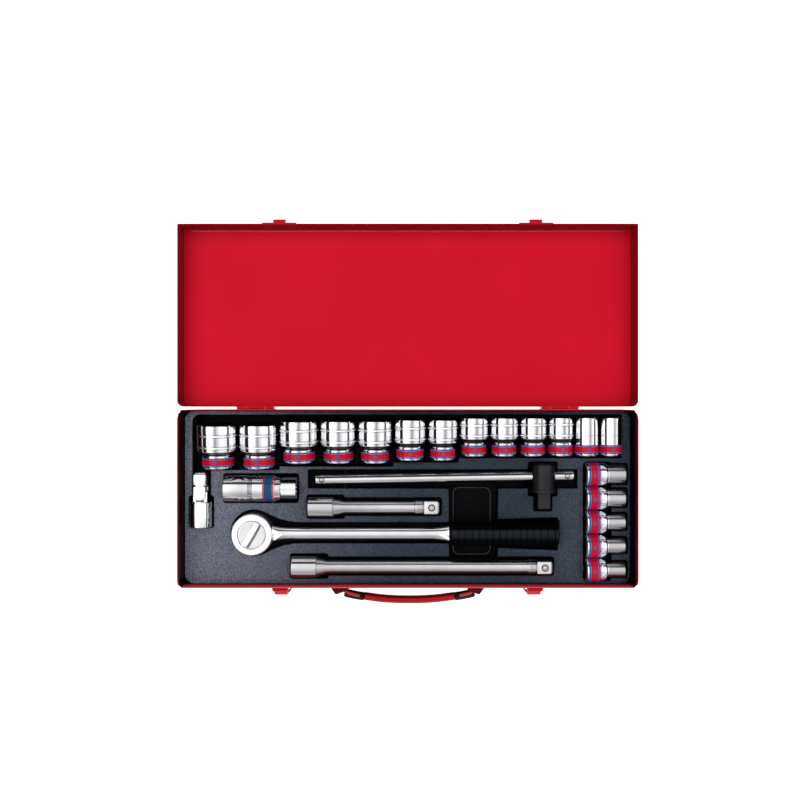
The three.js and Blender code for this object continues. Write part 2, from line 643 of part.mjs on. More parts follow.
function trayInsert() {
  const x = BASE_WIDTH / 2 - SHEET - GAP;
  const y = BASE_DEPTH / 2 - SHEET - GAP;
  const corners = [TRAY_CORNER, TRAY_CORNER, TRAY_CORNER, TRAY_CORNER];
  const body = upright(roundedOutline(-x, x, -y, y, corners), TRAY_BOTTOM, TRAY_TOP, 5);
  const places = rowPlaces();
  const neck = JOINT_TOOL.x;
  const neckFloor = TOOL_Z - JOINT_TOOL.female / 2 - CLEAR;
  const plugFloor = TOOL_Z - PLUG.body / 2 - CLEAR;
  const { left, right, front, rear, floor, corner } = TROUGH;
  const pockets = union([
    pocket(left, right, front, rear, floor, corner),
    ...places.map(cradle),
    pocket(
      neck - JOINT_NECK.half,
      neck + JOINT_NECK.half,
      JOINT_NECK.front,
      JOINT_NECK.rear,
      neckFloor,
      1.6,
    ),
    pocket(
      neck - JOINT_POCKET.left,
      neck + JOINT_POCKET.right,
      JOINT_POCKET.front,
      JOINT_POCKET.rear,
      neckFloor,
    ),
    pocket(
      PLUG.x - PLUG.length - 2,
      PLUG.x + 3.3,
      PLUG_POCKET.front,
      PLUG_POCKET.rear,
      plugFloor,
    ),
    ratchetPocket(),
    extensionPocket(EXTENSIONS.short),
    extensionPocket(EXTENSIONS.long),
    columnPockets(),
    barPockets(),
    pocket(FINGERS.left, FINGERS.right, FINGERS.front, FINGERS.rear, FINGERS.floor, 1.6),
  ]);
  const ribs = places.slice(0, RIBS.count).map((socket, i) => {
    const next = places[i + 1];
    const between = (socket.x + socket.body / 2 + next.x - next.body / 2) / 2;
    const root = Math.max(STEPS[socket.step].wall, STEPS[next.step].wall) - 1;
    const half = RIBS.thickness / 2;
    const top = TRAY_TOP - RIBS.below;
    return block(between - half, between + half, root, root + RIBS.length, TRAY_BOTTOM + 1, top);
  });
  const saddle = block(
    SADDLE.x - SADDLE.half,
    SADDLE.x + SADDLE.half,
    BAR_SLOT.front - 0.5,
    BAR_SLOT.rear + 0.1,
    BAR_SLOT.floor - 2,
    TOOL_Z - BAR.diameter / 2 - CLEAR,
  );
  return mesh("tray_insert", body.subtract(pockets).add(union(ribs)).add(saddle), trayPlastic);
}

// ---- Sockets ----
// A socket stands on its drive end and points along +Y.
function socketBody(outer, flats, length, squareDepth) {
  const mouthProfile = [
    [0, length - MOUTH.depth],
    [flats / 2, length - MOUTH.depth],
    [flats / 2 + MOUTH.flare, length + 1],
    [0, length + 1],
  ];
  const mouth = turned(mouthProfile, 12);
  return outer
    .subtract(prism(6, flats, squareDepth - 0.1, length + 1))
    .subtract(prism(4, DRIVE_SQUARE, -1, squareDepth))
    .subtract(mouth);
}

function rowSocket(place) {
  const { body, band, length } = place;
  const start = LIP + BAND + NECK;
  const waist = band > body ? body : band - 2.4; // the narrowest sockets have no neck
  const outer = turned(
    [
      [0, 0],
      [band / 2 - 1.6, 0],
      [band / 2, LIP],
      [band / 2, LIP + BAND],
      [waist / 2, LIP + BAND + 0.6],
      [waist / 2, start - 0.8],
      [body / 2, start],
      [body / 2, length],
      [0, length],
    ],
    ROUND_SIDES,
  );
  const piece = mesh(
    "socket_" + place.size,
    socketBody(outer, body * WALL_RATIO, length, LIP + BAND + 3),
    chrome,
  );
  piece.position.set(place.x, place.y, place.z);
  piece.rotation.x = place.tilt;
  return piece;
}

function columnSocket(socket, i) {
  const drive = COLUMN_DRIVE / 2;
  const slim = socket.hexEnd / 2;
  const profile = [
    [0, 0],
    [drive - 1.4, 0],
    [drive, COLUMN_LIP],
    [drive, COLUMN_SHOULDER - 2.2],
    [slim, COLUMN_SHOULDER + 1.6],
    [slim, COLUMN_LENGTH],
    [0, COLUMN_LENGTH],
  ];
  const outer = turned(profile, ROUND_SIDES);
  const flats = socket.hexEnd * WALL_RATIO;
  const body = socketBody(outer, flats, COLUMN_LENGTH, SQUARE_DEPTH);
  const piece = mesh("socket_" + socket.size, body, chrome);
  piece.position.set(COLUMN_X, COLUMN_Y - i * COLUMN_PITCH, TOOL_Z);
  piece.rotation.z = -Math.PI / 2;
  return piece;
}

// ---- Spark plug socket ----
function plugPieces() {
  const drive = PLUG.driveFlats;
  const outer = turned([
    [0, PLUG.driveLength - 1],
    [drive / 2 - 0.4, PLUG.driveLength - 1],
    [drive / 2 + 0.6, PLUG.driveLength + 0.6],
    [PLUG.body / 2, PLUG_TAPER],
    [PLUG.body / 2, PLUG.length - 0.8],
    [PLUG.body / 2 - 0.8, PLUG.length],
    [0, PLUG.length],
  ]);
  const mouth = PLUG.length - 30;
  const body = outer
    .add(prism(6, drive, 0, PLUG.driveLength + 1))
    .subtract(prism(6, 20.8, mouth, PLUG.length + 1))
    .subtract(turned([[0, 28], [8.6, 28], [8.6, mouth + 1], [0, mouth + 1]]))
    .subtract(prism(4, DRIVE_SQUARE, -1, SQUARE_DEPTH))
    .subtract(turned([[0, 15], [4, 15], [4, 29], [0, 29]], 10));
  const insert = turned([[0, 29], [8.2, 29], [8.2, mouth - 0.4], [0, mouth - 0.4]]).subtract(
    turned([[0, 28], [5.4, 28], [5.4, mouth + 1], [0, mouth + 1]], 12),
  );
  const pieces = [
    mesh("spark_plug_socket", body, chrome),
    mesh("spark_plug_holder", insert, gripRubber),
  ];
  for (const piece of pieces) {
    piece.position.set(PLUG.x, PLUG.y, TOOL_Z);
    piece.rotation.z = Math.PI / 2;
  }
  return pieces;
}

// ---- Extension bars ----
// A bar points along +Y from its female end to its male square.
function extensionPieces(name, { x, y, length, female, shaft }) {
  const maleStart = length - MALE_LENGTH;
  const collar = maleStart - COLLAR_LENGTH;
  const outer = turned([
    [0, 0],
    [female / 2 - 1, 0],
    [female / 2, 1],
    [female / 2, FEMALE_LENGTH],
    [shaft / 2, TAPER_END],
    [shaft / 2, collar - 1],
    [shaft / 2 + 0.8, collar],
    [shaft / 2 + 0.8, maleStart],
    [0, maleStart],
  ]);
  const square = turned([
    [0, maleStart - 1],
    [DRIVE_SQUARE * 0.65, maleStart - 1],
    [DRIVE_SQUARE * 0.65, length - 2],
    [DRIVE_SQUARE * 0.45, length],
    [0, length],
  ]).intersect(prism(4, DRIVE_SQUARE, maleStart - 2, length + 1));
  const ballPlace = length - MALE_LENGTH / 2;
  const face = DRIVE_SQUARE / 2;
  const bore = rodZ(BALL_RADIUS + GAP, face - 4.4, face + 1, 0, ballPlace, 10);
  const recess = prism(4, DRIVE_SQUARE, -1, SQUARE_DEPTH);
  const bar = outer.add(square).subtract(recess).subtract(bore);
  const ballGeometry = new THREE.SphereGeometry(BALL_RADIUS, 8, 6);
  ballGeometry.translate(0, ballPlace, face - 1.2);
  const pieces = [
    mesh("extension_" + name, bar, satin),
    mesh("detent_ball_" + name, solid(ballGeometry), pinSteel),
  ];
  for (const piece of pieces) {
    piece.position.set(x, y, TOOL_Z);
    piece.rotation.z = -Math.PI / 2;
  }
  return pieces;
}

// ---- Sliding T bar ----
function barPieces() {
  const radius = BAR.diameter / 2;
  const rod = turned([
    [0, 0],
    [radius - 1, 0],
    [radius, 1],
    [radius, BAR.length - 1],
    [radius - 1, BAR.length],
    [0, BAR.length],
  ]);
  const rodMesh = mesh("t_bar_rod", rod, chrome);
  const tilt = THREE.MathUtils.degToRad(BAR.angle);
  rodMesh.position.set(BAR.x, BAR.y, TOOL_Z);
  rodMesh.rotation.z = tilt - Math.PI / 2;

  // The slider's bore follows the rod, which lies a little askew in its slot.
  const boreY = BAR.y + (SLIDER.x - BAR.x) * Math.tan(tilt);
  const boreGeometry = new THREE.CylinderGeometry(radius + 0.35, radius + 0.35, 60, 18);
  boreGeometry.rotateZ(tilt - Math.PI / 2);
  boreGeometry.translate(0, boreY - SLIDER.y, 0);
  const { radius: outer, length } = SLIDER;
  const slider = turned([
    [0, 0],
    [outer - 1.2, 0],
    [outer, 1.2],
    [outer, length - 1.2],
    [outer - 1.2, length],
    [0, length],
  ])
    .add(prism(4, DRIVE_SQUARE, -15.6, 1))
    .subtract(solid(boreGeometry));
  const sliderMesh = mesh("t_bar_slider", slider, blackened);
  sliderMesh.position.set(SLIDER.x, SLIDER.y, TOOL_Z);
  return [rodMesh, sliderMesh];
}

// ---- Universal joint ----
// One ear of a fork: a flat cheek beside the axis with a rounded tip round its pin.
function forkEar(from, tipSign) {
  const cheek = new THREE.Shape();
  const { centre } = JOINT_TOOL;
  const half = FORK_EYE;
  cheek.moveTo(from, -half);
  cheek.lineTo(centre, -half);
  if (tipSign > 0) cheek.absarc(centre, 0, half, -Math.PI / 2, Math.PI / 2);
  else cheek.absarc(centre, 0, half, -Math.PI / 2, Math.PI / 2, true);
  cheek.lineTo(from, half);
  return alongX(cheek, FORK_INNER, FORK_RADIUS, 6);
}

// Two facing ears on the X axis, with a bore for the cross piece.
function forkEars(from, tipSign) {
  const ear = forkEar(from, tipSign);
  const bore = rodX(CROSS.bore, -FORK_RADIUS - 1, FORK_RADIUS + 1, JOINT_TOOL.centre, 0);
  return ear.add(ear.mirror([1, 0, 0])).subtract(bore);
}

function universalJointPieces() {
  const { female, femaleLength, centre, length } = JOINT_TOOL;
  const base = centre - FORK_ROOT;
  const top = centre + FORK_ROOT;
  const socketYoke = turned([
    [0, 0],
    [female / 2 - 0.8, 0],
    [female / 2, 0.8],
    [female / 2, base - 0.6],
    [8, base + 0.4],
    [0, base + 0.4],
  ])
    .subtract(prism(4, DRIVE_SQUARE, -1, SQUARE_DEPTH))
    .add(forkEars(base, 1));
  const tang = turned([
    [0, top],
    [7, top],
    [8.6, top + 2],
    [8.6, length - 3],
    [6, length],
    [0, length],
  ]).intersect(prism(4, DRIVE_SQUARE, top - 1, length + 1));
  const driveYoke = tang.add(forkEars(top + 0.3, -1).rotate([0, 90, 0]));
  const { half, pin } = CROSS;
  const reach = FORK_RADIUS - GAP;
  const cross = union([
    block(-half, half, centre - half, centre + half, -half, half),
    rodX(pin, -reach, reach, centre, 0),
    rodZ(pin, -reach, reach, 0, centre, 12),
  ]);
  const pieces = [
    mesh("joint_socket_yoke", socketYoke, chrome),
    mesh("joint_cross", cross, pinSteel),
    mesh("joint_drive_yoke", driveYoke, satin),
  ];
  for (const piece of pieces) piece.position.set(JOINT_TOOL.x, JOINT_TOOL.y, TOOL_Z);
  return pieces;
}

// ---- Ratchet ----
function ratchetPieces() {
  const head = turned(
    [
      [0, -HEAD_HALF],
      [RATCHET.head - 2.2, -HEAD_HALF],
      [RATCHET.head, -HEAD_HALF + 2.2],
      [RATCHET.head, HEAD_HALF - 2.6],
      [RATCHET.head - 2.2, HEAD_HALF],
      [0, HEAD_HALF],
    ],
    24,
  ).rotate([90, 0, 0]);
  const shaft = turned(
    [
      [0, 12],
      [8.5, 12],
      [8, RATCHET.head],
      [RATCHET.shaft, RATCHET.head + 13],
      [RATCHET.shaft, FLARE_START],
      [7, GRIP.start - 0.4],
      [GRIP.inner - GAP, GRIP.start - 0.4],
      [GRIP.inner - GAP, GRIP.end - 9],
      [0, GRIP.end - 9],
    ],
    14,
  ).rotate([0, 0, -90]);
  const seatFloor = HEAD_HALF - DIAL.sink - GAP;
  const dialSeat = rodZ(DIAL_RADIUS + GAP, seatFloor, HEAD_HALF + 5, 0, 0, 24);
  const anvilBore = rodZ(ANVIL.bore, -HEAD_HALF - 1, 1, 0, 0, 24);
  const body = head.add(shaft).subtract(dialSeat).subtract(anvilBore);

  const dialDisc = rodZ(DIAL_RADIUS, HEAD_HALF - DIAL.sink, HEAD_HALF + 0.2, 0, 0, 24);
  const barReach = DIAL_RADIUS - 0.6;
  const barTop = HEAD_HALF + DIAL.height;
  const bar = block(-DIAL.bar, DIAL.bar, -barReach, barReach, HEAD_HALF, barTop);
  const dial = dialDisc.add(bar.rotate([0, 0, DIAL.turn]));

  const tip = ANVIL.tip - RATCHET.z;
  const half = DRIVE_SQUARE / 2;
  const anvil = rodZ(ANVIL.radius, GAP - HEAD_HALF, 1 - GAP, 0, 0, 24).add(
    block(-half, half, -half, half, tip, -HEAD_HALF + 1),
  );

  const grip = turned([
    [GRIP.inner, GRIP.start],
    [GRIP.front, GRIP.start],
    [GRIP.front + 0.6, GRIP.start + 8],
    [GRIP.front - 0.2, GRIP.start + 48],
    [GRIP.rear, GRIP.end - 5],
    [GRIP.rear - 1.6, GRIP.end],
    [0, GRIP.end],
    [0, GRIP.end - 8.4],
    [GRIP.inner, GRIP.end - 8.4],
    [GRIP.inner, GRIP.start],
  ]).rotate([0, 0, -90]);
  const pieces = [
    mesh("ratchet_body", body, satin),
    mesh("ratchet_dial", dial, satin),
    mesh("ratchet_anvil", anvil, chrome),
    mesh("ratchet_grip", grip, gripRubber),
  ];
  for (const piece of pieces) piece.position.set(RATCHET.x, RATCHET.y, RATCHET.z);
  return pieces;
}

// ---- Assembly ----
const toolCase = new THREE.Group();
toolCase.add(baseShell(), lidShell(), trayInsert(), carryingHandle());
for (const [side, name] of [
  [-1, "left"],
  [1, "right"],
]) {
  toolCase.add(...hingePieces(side, name), ...latchPieces(side, name), handleBracket(side, name));
}

const tools = new THREE.Group();
tools.add(...rowPlaces().map(rowSocket), ...COLUMN.map(columnSocket));
tools.add(...plugPieces(), ...barPieces(), ...universalJointPieces(), ...ratchetPieces());
tools.add(...extensionPieces("short", EXTENSIONS.short), ...extensionPieces("long", EXTENSIONS.long));

const set = new THREE.Group();
set.add(toolCase, tools);
export default set;
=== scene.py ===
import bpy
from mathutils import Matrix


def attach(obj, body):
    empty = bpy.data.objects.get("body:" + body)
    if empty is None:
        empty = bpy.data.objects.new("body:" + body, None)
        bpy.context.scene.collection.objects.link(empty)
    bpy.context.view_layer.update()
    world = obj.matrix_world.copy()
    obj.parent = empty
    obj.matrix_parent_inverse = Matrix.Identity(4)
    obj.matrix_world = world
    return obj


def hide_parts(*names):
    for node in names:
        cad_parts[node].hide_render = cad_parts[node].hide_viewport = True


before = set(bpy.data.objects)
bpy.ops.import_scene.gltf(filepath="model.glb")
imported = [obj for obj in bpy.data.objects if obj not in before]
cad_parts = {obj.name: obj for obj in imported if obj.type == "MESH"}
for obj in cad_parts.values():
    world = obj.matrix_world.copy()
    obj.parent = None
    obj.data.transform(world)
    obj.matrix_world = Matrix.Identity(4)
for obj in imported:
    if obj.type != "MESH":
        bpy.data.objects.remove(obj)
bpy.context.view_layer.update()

import math

import bmesh
import bpy
from mathutils import Matrix, Vector

# A 1/2 inch socket wrench set in a folding steel case, lid turned right back. Lengths are millimetres
# in the part's own frame until a mesh is built; METRE turns them into metres.
METRE = 0.001
RING = 96  # points round a turned piece

# ---- Dimensions, as in the part ----
TOOL_Z = 25
DRIVE_SQUARE = 12.7
WALL_RATIO = 0.72
ROW_LEFT = -201.5
ROW_GAP = 1.74
ROW_AXIS_Z = 26
LEAN_PER_STEP = 0.5
STEP_DRIVES = [29, 34.2, 36.7, 40.4]
# size, body and band diameters, length, step
ROW = [
    (28, 38.5, 30.2, 41.5, 0), (27, 36.8, 29.7, 41.5, 0), (26, 37.1, 30, 40, 1), (24, 34.4, 28.2, 40, 1),
    (23, 33, 26.8, 40, 1), (22, 30.6, 26.2, 38.5, 2), (21, 28.8, 24, 38.5, 2), (20, 27.5, 23.6, 36.5, 3),
    (19, 26.8, 23.4, 36.5, 3), (18, 25.4, 23, 36.5, 3), (17, 23.8, 23, 36.5, 3),
    (16, 22.4, 22.8, 36.5, 3), (15, 20.9, 21.3, 36.5, 3),
]
LIP = 2
BAND = 8.7
BAND_EDGE = 1.5
BODY_START = 15.8
COLUMN = [(14, 18.4), (13, 17.3), (12, 15.6), (11, 14.9), (10, 14.3)]
COLUMN_X = 170.4
COLUMN_Y = 22.4
COLUMN_PITCH = 22.9
COLUMN_LENGTH = 38.1
COLUMN_DRIVE = 22.5
COLUMN_SHOULDER = 18.9
COLUMN_LIP = 1.6
COLUMN_BAND = 11

EXTENSIONS = {
    "short": dict(x=-95.6, y=-9.1, length=126, female=19.5, shaft=12),
    "long": dict(x=-111.4, y=-66.4, length=250, female=20.7, shaft=12.6),
}
PLUG = dict(x=-108, y=8.9, length=67.6, body=25.2, flats=19, drive=12.4, taper=18.6)
BAR = dict(x=-88.5, y=17.5, length=248, radius=4.7, angle=0.88)
SLIDER = dict(x=130.3, y=4.5, length=28.6, radius=11.3, square=15.6)
JOINT = dict(x=-198.6, y=-28, female=21.3, centre=31.5, length=53)
RATCHET = Vector((-148.1, -34.2, 26))
HEAD_RADIUS = 19.7
HEAD_HALF = 10
DIAL_RADIUS = 13.4
DIAL_TURN = -30
GRIP = dict(start=188.4, end=291.8, front=11, rear=13)
HINGE_Y = 87.2
HINGE_Z = 34.3
HINGE_X = 144.5
HINGE_LENGTH = 35
LATCH_X = 122
BRACKET_X = 65
REAR_WALL = 84.8  # where the fittings on the base's rear wall start
FRONT_WALL = -84.8
LID_REACH = 173.4  # front to back
HANDLE_PIVOT = Vector((0, -89, 17.5))
HANDLE_DROOP = 38
HANDLE_BOW = [(44, -12.6), (24, -16.6), (0, -18)]
HANDLE_RADIUS = 3.9
HANDLE_PLAY = 2
HANDLE_SLEEVE = [(63.4, -7.4), (58, -9.3), (51, -11.6), (44.4, -13.2)]
HANDLE_STRAP = [(69, -0.6), (66, -2.4), (58, -5.6), (49, -9.2)]

CAMERA = Vector((-7.3, 93.8, 716))  # it looks straight down
VIEW_SLOPE = 378.8 / 680  # half the view's width over the distance


# ---- Material building ----
def feed(tree, value, socket):
    """Gives a socket its value, which is a constant or another node's output."""
    if isinstance(value, bpy.types.NodeSocket):
        tree.links.new(value, socket)
    else:
        socket.default_value = value


def feed_all(tree, node, inputs):
    for key, value in inputs.items():
        feed(tree, value, node.inputs[key.replace("_", " ")])


def shader_node(tree, kind, settings=None, **inputs):
    node = tree.nodes.new("ShaderNode" + kind)
    for key, value in (settings or {}).items():
        setattr(node, key, value)
    feed_all(tree, node, inputs)
    return node


def maths(tree, operation, *values):
    node = shader_node(tree, "Math", {"operation": operation})
    for value, socket in zip(values, node.inputs):
        feed(tree, value, socket)
    return node.outputs[0]


def product(tree, first, *others):
    for other in others:
        first = maths(tree, "MULTIPLY", first, other)
    return first


def blend(tree, factor, under, over, kind="MIX"):
    node = shader_node(tree, "Mix", {"data_type": "RGBA", "blend_type": kind}, Factor=factor)
    feed(tree, under, node.inputs[6])
    feed(tree, over, node.inputs[7])
    return node.outputs[2]


def noise(tree, place, scale, detail=2.0, rough=0.5):
    node = shader_node(tree, "TexNoise", Vector=place, Scale=scale, Detail=detail, Roughness=rough)
    return node.outputs["Fac"]


def tones(tree, factor, *stops):
    ramp = shader_node(tree, "ValToRGB", Fac=factor)
    elements = ramp.color_ramp.elements
    elements[0].position, elements[0].color = stops[0][0], (*stops[0][1], 1)
    elements[1].position, elements[1].color = stops[-1][0], (*stops[-1][1], 1)
    for at, color in stops[1:-1]:
        elements.new(at).color = (*color, 1)
    return ramp.outputs["Color"]


def clouded(tree, place, scale, dark, light):
    return tones(tree, noise(tree, place, scale, 3.0), (0.3, dark), (0.7, light))


def spread(tree, value, low, high, from_low=0.3, from_high=0.7, kind="LINEAR"):
    """Carries from_low..from_high over to low..high and stops at both ends."""
    limits = dict(From_Min=from_low, From_Max=from_high, To_Min=low, To_Max=high)
    node = shader_node(tree, "MapRange", {"interpolation_type": kind}, Value=value, **limits)
    return node.outputs["Result"]


def parts_of(tree, vector):
    return shader_node(tree, "SeparateXYZ", Vector=vector).outputs


def facing(tree, axis):
    """How far the surface faces along an axis of its piece."""
    return parts_of(tree, shader_node(tree, "TexCoord").outputs["Normal"])[axis]


def surface(name, metallic=0.0, specular=0.5):
    material = bpy.data.materials.new(name)
    material.use_nodes = True
    tree = material.node_tree
    shader = tree.nodes["Principled BSDF"]
    shader.inputs["Metallic"].default_value = metallic
    shader.inputs["Specular IOR Level"].default_value = specular
    place = shader_node(tree, "TexCoord").outputs["Object"]
    return material, tree, shader, place


def bump(tree, shader, height, strength, distance, normal=None):
    inputs = dict(Height=height, Strength=strength, Distance=distance)
    if normal is not None:
        inputs["Normal"] = normal
    node = shader_node(tree, "Bump", **inputs)
    tree.links.new(node.outputs["Normal"], shader.inputs["Normal"])
    return node.outputs["Normal"]


def paint_finish(tree, shader, place, color, rough, peel=0.12):
    fine = noise(tree, place, 90.0, 4.0)
    feed_all(tree, shader, dict(Base_Color=color, Roughness=spread(tree, fine, *rough)))
    bump(tree, shader, noise(tree, place, 900.0, 2.0), peel, 0.0002)


def metal_finish(tree, shader, place, color, rough, brushed, grain):
    smear = noise(tree, place, 120.0, 5.0)
    feed_all(tree, shader, dict(Base_Color=color, Roughness=spread(tree, smear, *rough)))
    bump(tree, shader, brushed, grain, 0.0001)


def painted(name, light, dark, rough=(0.26, 0.42), specular=0.16):
    material, tree, shader, place = surface(name, specular=specular)
    paint_finish(tree, shader, place, clouded(tree, place, 14.0, dark, light), rough)
    return material


def metal(name, light, dark, rough, grain=0.03, stretch=(1, 1, 1), grain_scale=1400.0):
    material, tree, shader, place = surface(name, metallic=1.0)
    stretched = shader_node(tree, "Mapping", Vector=place, Scale=stretch).outputs["Vector"]
    brushed = noise(tree, stretched, grain_scale, 2.0)
    metal_finish(tree, shader, place, clouded(tree, place, 45.0, dark, light), rough, brushed, grain)
    return material


def tray_plastic():
    """Pebbled on top with painted light, lighter towards -X; smooth and deep black in the pockets, a
    painted shade.
    """
    material, tree, shader, place = surface("tray plastic")
    parts = parts_of(tree, place)
    top = spread(tree, parts["Z"], 0.0, 1.0, 0.0205, 0.0236)
    # painted light: lighter towards -X, darker towards +X
    wear_and_painted_light = tones(
        tree, spread(tree, parts["X"], 0.0, 1.0, -0.215, 0.215),
        (0.0, (0.19, 0.205, 0.258)), (0.05, (0.15, 0.165, 0.21)), (0.12, (0.132, 0.146, 0.188)),
        (0.2, (0.1, 0.112, 0.148)), (0.29, (0.06, 0.07, 0.096)), (0.48, (0.02, 0.031, 0.049)),
        (0.75, (0.016, 0.027, 0.042)), (0.88, (0.04, 0.052, 0.079)), (1.0, (0.025, 0.033, 0.054)),
    )
    speckle = noise(tree, place, 820.0, 3.0, 0.6)
    grain = tones(tree, speckle, (0.34, (0.5, 0.5, 0.5)), (0.66, (1.5, 1.5, 1.5)))
    # painted shade: near black below the top surface, down in the pockets
    color = blend(tree, top, (0.0016, 0.0018, 0.0024, 1), blend(tree, 1.0, wear_and_painted_light, grain, "MULTIPLY"))
    shine = spread(tree, parts["Z"], 0.06, 0.22, 0.019, 0.0236)
    rough = spread(tree, noise(tree, place, 22.0, 3.0), 0.4, 0.5)
    feed_all(tree, shader, dict(Base_Color=color, Specular_IOR_Level=shine, Roughness=rough))
    pebbles = shader_node(tree, "TexVoronoi", Vector=place, Scale=760.0).outputs["Distance"]
    first = bump(tree, shader, pebbles, 0.75, 0.0008)
    bump(tree, shader, noise(tree, place, 70.0, 3.0), 0.15, 0.002, first)
    return material


def base_paint():
    """Red outside. Inside, the side and rear walls carry painted shade, and the front wall carries painted
    light, lighter at its rim.
    """
    material, tree, shader, place = surface("base red", specular=0.06)
    parts = parts_of(tree, place)
    height = parts["Z"]
    across, deep = maths(tree, "ABSOLUTE", parts["X"]), maths(tree, "ABSOLUTE", parts["Y"])
    within_x = spread(tree, across, 1.0, 0.0, 0.2154, 0.2158)
    within_y = spread(tree, deep, 1.0, 0.0, 0.0838, 0.0842)
    above_floor = spread(tree, height, 0.0, 1.0, 0.0012, 0.0016)
    side_at = spread(tree, across, 0.0, 1.0, 0.2142, 0.2146)
    side = product(tree, side_at, within_x, within_y, above_floor)
    rear_at = spread(tree, parts["Y"], 0.0, 1.0, 0.083, 0.0834)
    rear = product(tree, rear_at, within_x, within_y, above_floor)
    front_at = spread(tree, parts["Y"], 1.0, 0.0, -0.0834, -0.083)
    front = product(tree, front_at, within_x, spread(tree, deep, 1.0, 0.0, 0.0842, 0.0845))
    red = clouded(tree, place, 14.0, (0.5, 0.003, 0.012), (0.58, 0.004, 0.015))
    # painted shade on the inner side and rear walls, darkest at the foot
    shade = tones(
        tree, spread(tree, height, 0.0, 1.0, 0.0345, 0.0445),
        (0.0, (0.001, 0.0006, 0.0008)), (0.3, (0.02, 0.001, 0.0015)), (1.0, (0.2, 0.006, 0.009)),
    )
    # painted light on the front wall's inner face, lighter up to its rim, with painted shade low down
    front_painted_light_and_shade = tones(
        tree, spread(tree, height, 0.0, 1.0, 0.0236, 0.036),
        (0.0, (0.12, 0.01, 0.016)), (0.5, (0.62, 0.05, 0.07)), (1.0, (0.85, 0.08, 0.11)),
    )
    color = blend(tree, front, red, front_painted_light_and_shade)
    color = blend(tree, rear, color, shade)
    color = blend(tree, side, color, shade)
    paint_finish(tree, shader, place, color, (0.3, 0.45), 0.1)
    return material


def lid_paint():
    """Red, with painted shade, a deeper red, on the inside of the lid's walls; the same deeper red goes
    below 15.6 mm.
    """
    material, tree, shader, place = surface("lid red", specular=0.06)
    parts = parts_of(tree, place)
    side = spread(tree, maths(tree, "ABSOLUTE", parts["X"]), 0.0, 1.0, 0.21755, 0.21785)
    front = spread(tree, parts["Y"], 0.0, 1.0, 0.26005, 0.2603)
    low = spread(tree, parts["Z"], 1.0, 0.0, 0.0156, 0.0172)
    # painted shade: the deeper red on the inner side and front walls, and below 15.6 mm
    tone = maths(tree, "MAXIMUM", maths(tree, "MAXIMUM", side, front), low)
    red = clouded(tree, place, 11.0, (0.64, 0.003, 0.017), (0.7, 0.0036, 0.021))
    color = blend(tree, tone, (0.24, 0.008, 0.012, 1), red)
    paint_finish(tree, shader, place, color, (0.28, 0.42), 0.1)
    return material


def rubber():
    """Black rubber with a painted sheen: it shines where it faces up and is dull where it faces front or
    rear.
    """
    material, tree, shader, place = surface("grip rubber")
    clouds = noise(tree, place, 60.0, 3.0)
    color = tones(tree, clouds, (0.3, (0.0003, 0.0006, 0.001)), (0.7, (0.0007, 0.0012, 0.002)))
    # painted sheen: shine set by which way the surface faces
    lean = facing(tree, "Y")
    rise = spread(tree, lean, 0.02, 0.22, -0.46, -0.16)
    painted_sheen = product(tree, rise, spread(tree, lean, 1.0, 0.05, 0.3, 0.6))
    rough = spread(tree, clouds, 0.2, 0.28)
    feed_all(tree, shader, dict(Base_Color=color, Roughness=rough, Specular_IOR_Level=painted_sheen))
    shader.inputs["Specular Tint"].default_value = (0.72, 0.88, 1.0, 1)
    bump(tree, shader, noise(tree, place, 1500.0, 2.0), 0.12, 0.0002)
    return material


def grip_paint():
    """Red plastic, with painted shade on the side that faces the case."""
    material, tree, shader, place = surface("grip red", specular=0.14)
    red = clouded(tree, place, 14.0, (0.34, 0.003, 0.008), (0.41, 0.004, 0.01))
    # painted shade: darker where the surface faces the case
    toward = spread(tree, facing(tree, "Y"), 0.0, 1.0, 0.3, 0.85)
    shade = tones(tree, toward, (0.0, (1, 1, 1)), (1.0, (0.12, 0.1, 0.1)))
    paint_finish(tree, shader, place, blend(tree, 1.0, red, shade, "MULTIPLY"), (0.26, 0.42))
    return material


def row_chrome():
    """Chrome with a painted reflection: a soft grey stripe along the top of each socket."""
    material, tree, shader, place = surface("row chrome", metallic=1.0)
    bright = clouded(tree, place, 45.0, (0.8, 0.8, 0.82), (0.86, 0.86, 0.88))
    # painted reflection: the grey stripe along the top
    stripe = tones(
        tree, spread(tree, facing(tree, "X"), 0.0, 1.0, -0.14, 0.36),
        (0.0, (1, 1, 1)), (0.32, (0.66, 0.66, 0.67)), (0.45, (0.37, 0.36, 0.38)),
        (0.55, (0.37, 0.36, 0.38)), (0.7, (0.64, 0.64, 0.65)), (1.0, (1, 1, 1)),
    )
    brushed = noise(tree, place, 1400.0, 2.0)
    color = blend(tree, 1.0, bright, stripe, "MULTIPLY")
    metal_finish(tree, shader, place, color, (0.03, 0.06), brushed, 0.01)
    return material


def floor_material():
    """Pale, and bright enough of its own to read as white paper."""
    material, tree, shader, place = surface("pale floor", specular=0.0)
    color = clouded(tree, place, 6.0, (0.88, 0.88, 0.88), (0.9, 0.9, 0.9))
    feed_all(tree, shader, dict(Base_Color=color, Roughness=0.9))
    feed_all(tree, shader, dict(Emission_Color=(1, 1, 1, 1), Emission_Strength=0.9))
    bump(tree, shader, noise(tree, place, 400.0, 2.0), 0.05, 0.0005)
    return material


CASE_RED = painted("case red", (0.56, 0.005, 0.018), (0.5, 0.004, 0.015), specular=0.06)
BASE_RED = base_paint()
LID_RED = lid_paint()
# painted highlight: a paler, pinker copy of the case red for the lid's bead
BEAD_HIGHLIGHT_RED = painted("bead red", (0.62, 0.06, 0.075), (0.55, 0.045, 0.06), (0.3, 0.4), 0.3)
HANDLE_RED = painted("handle red", (0.46, 0.004, 0.01), (0.38, 0.003, 0.008), specular=0.14)
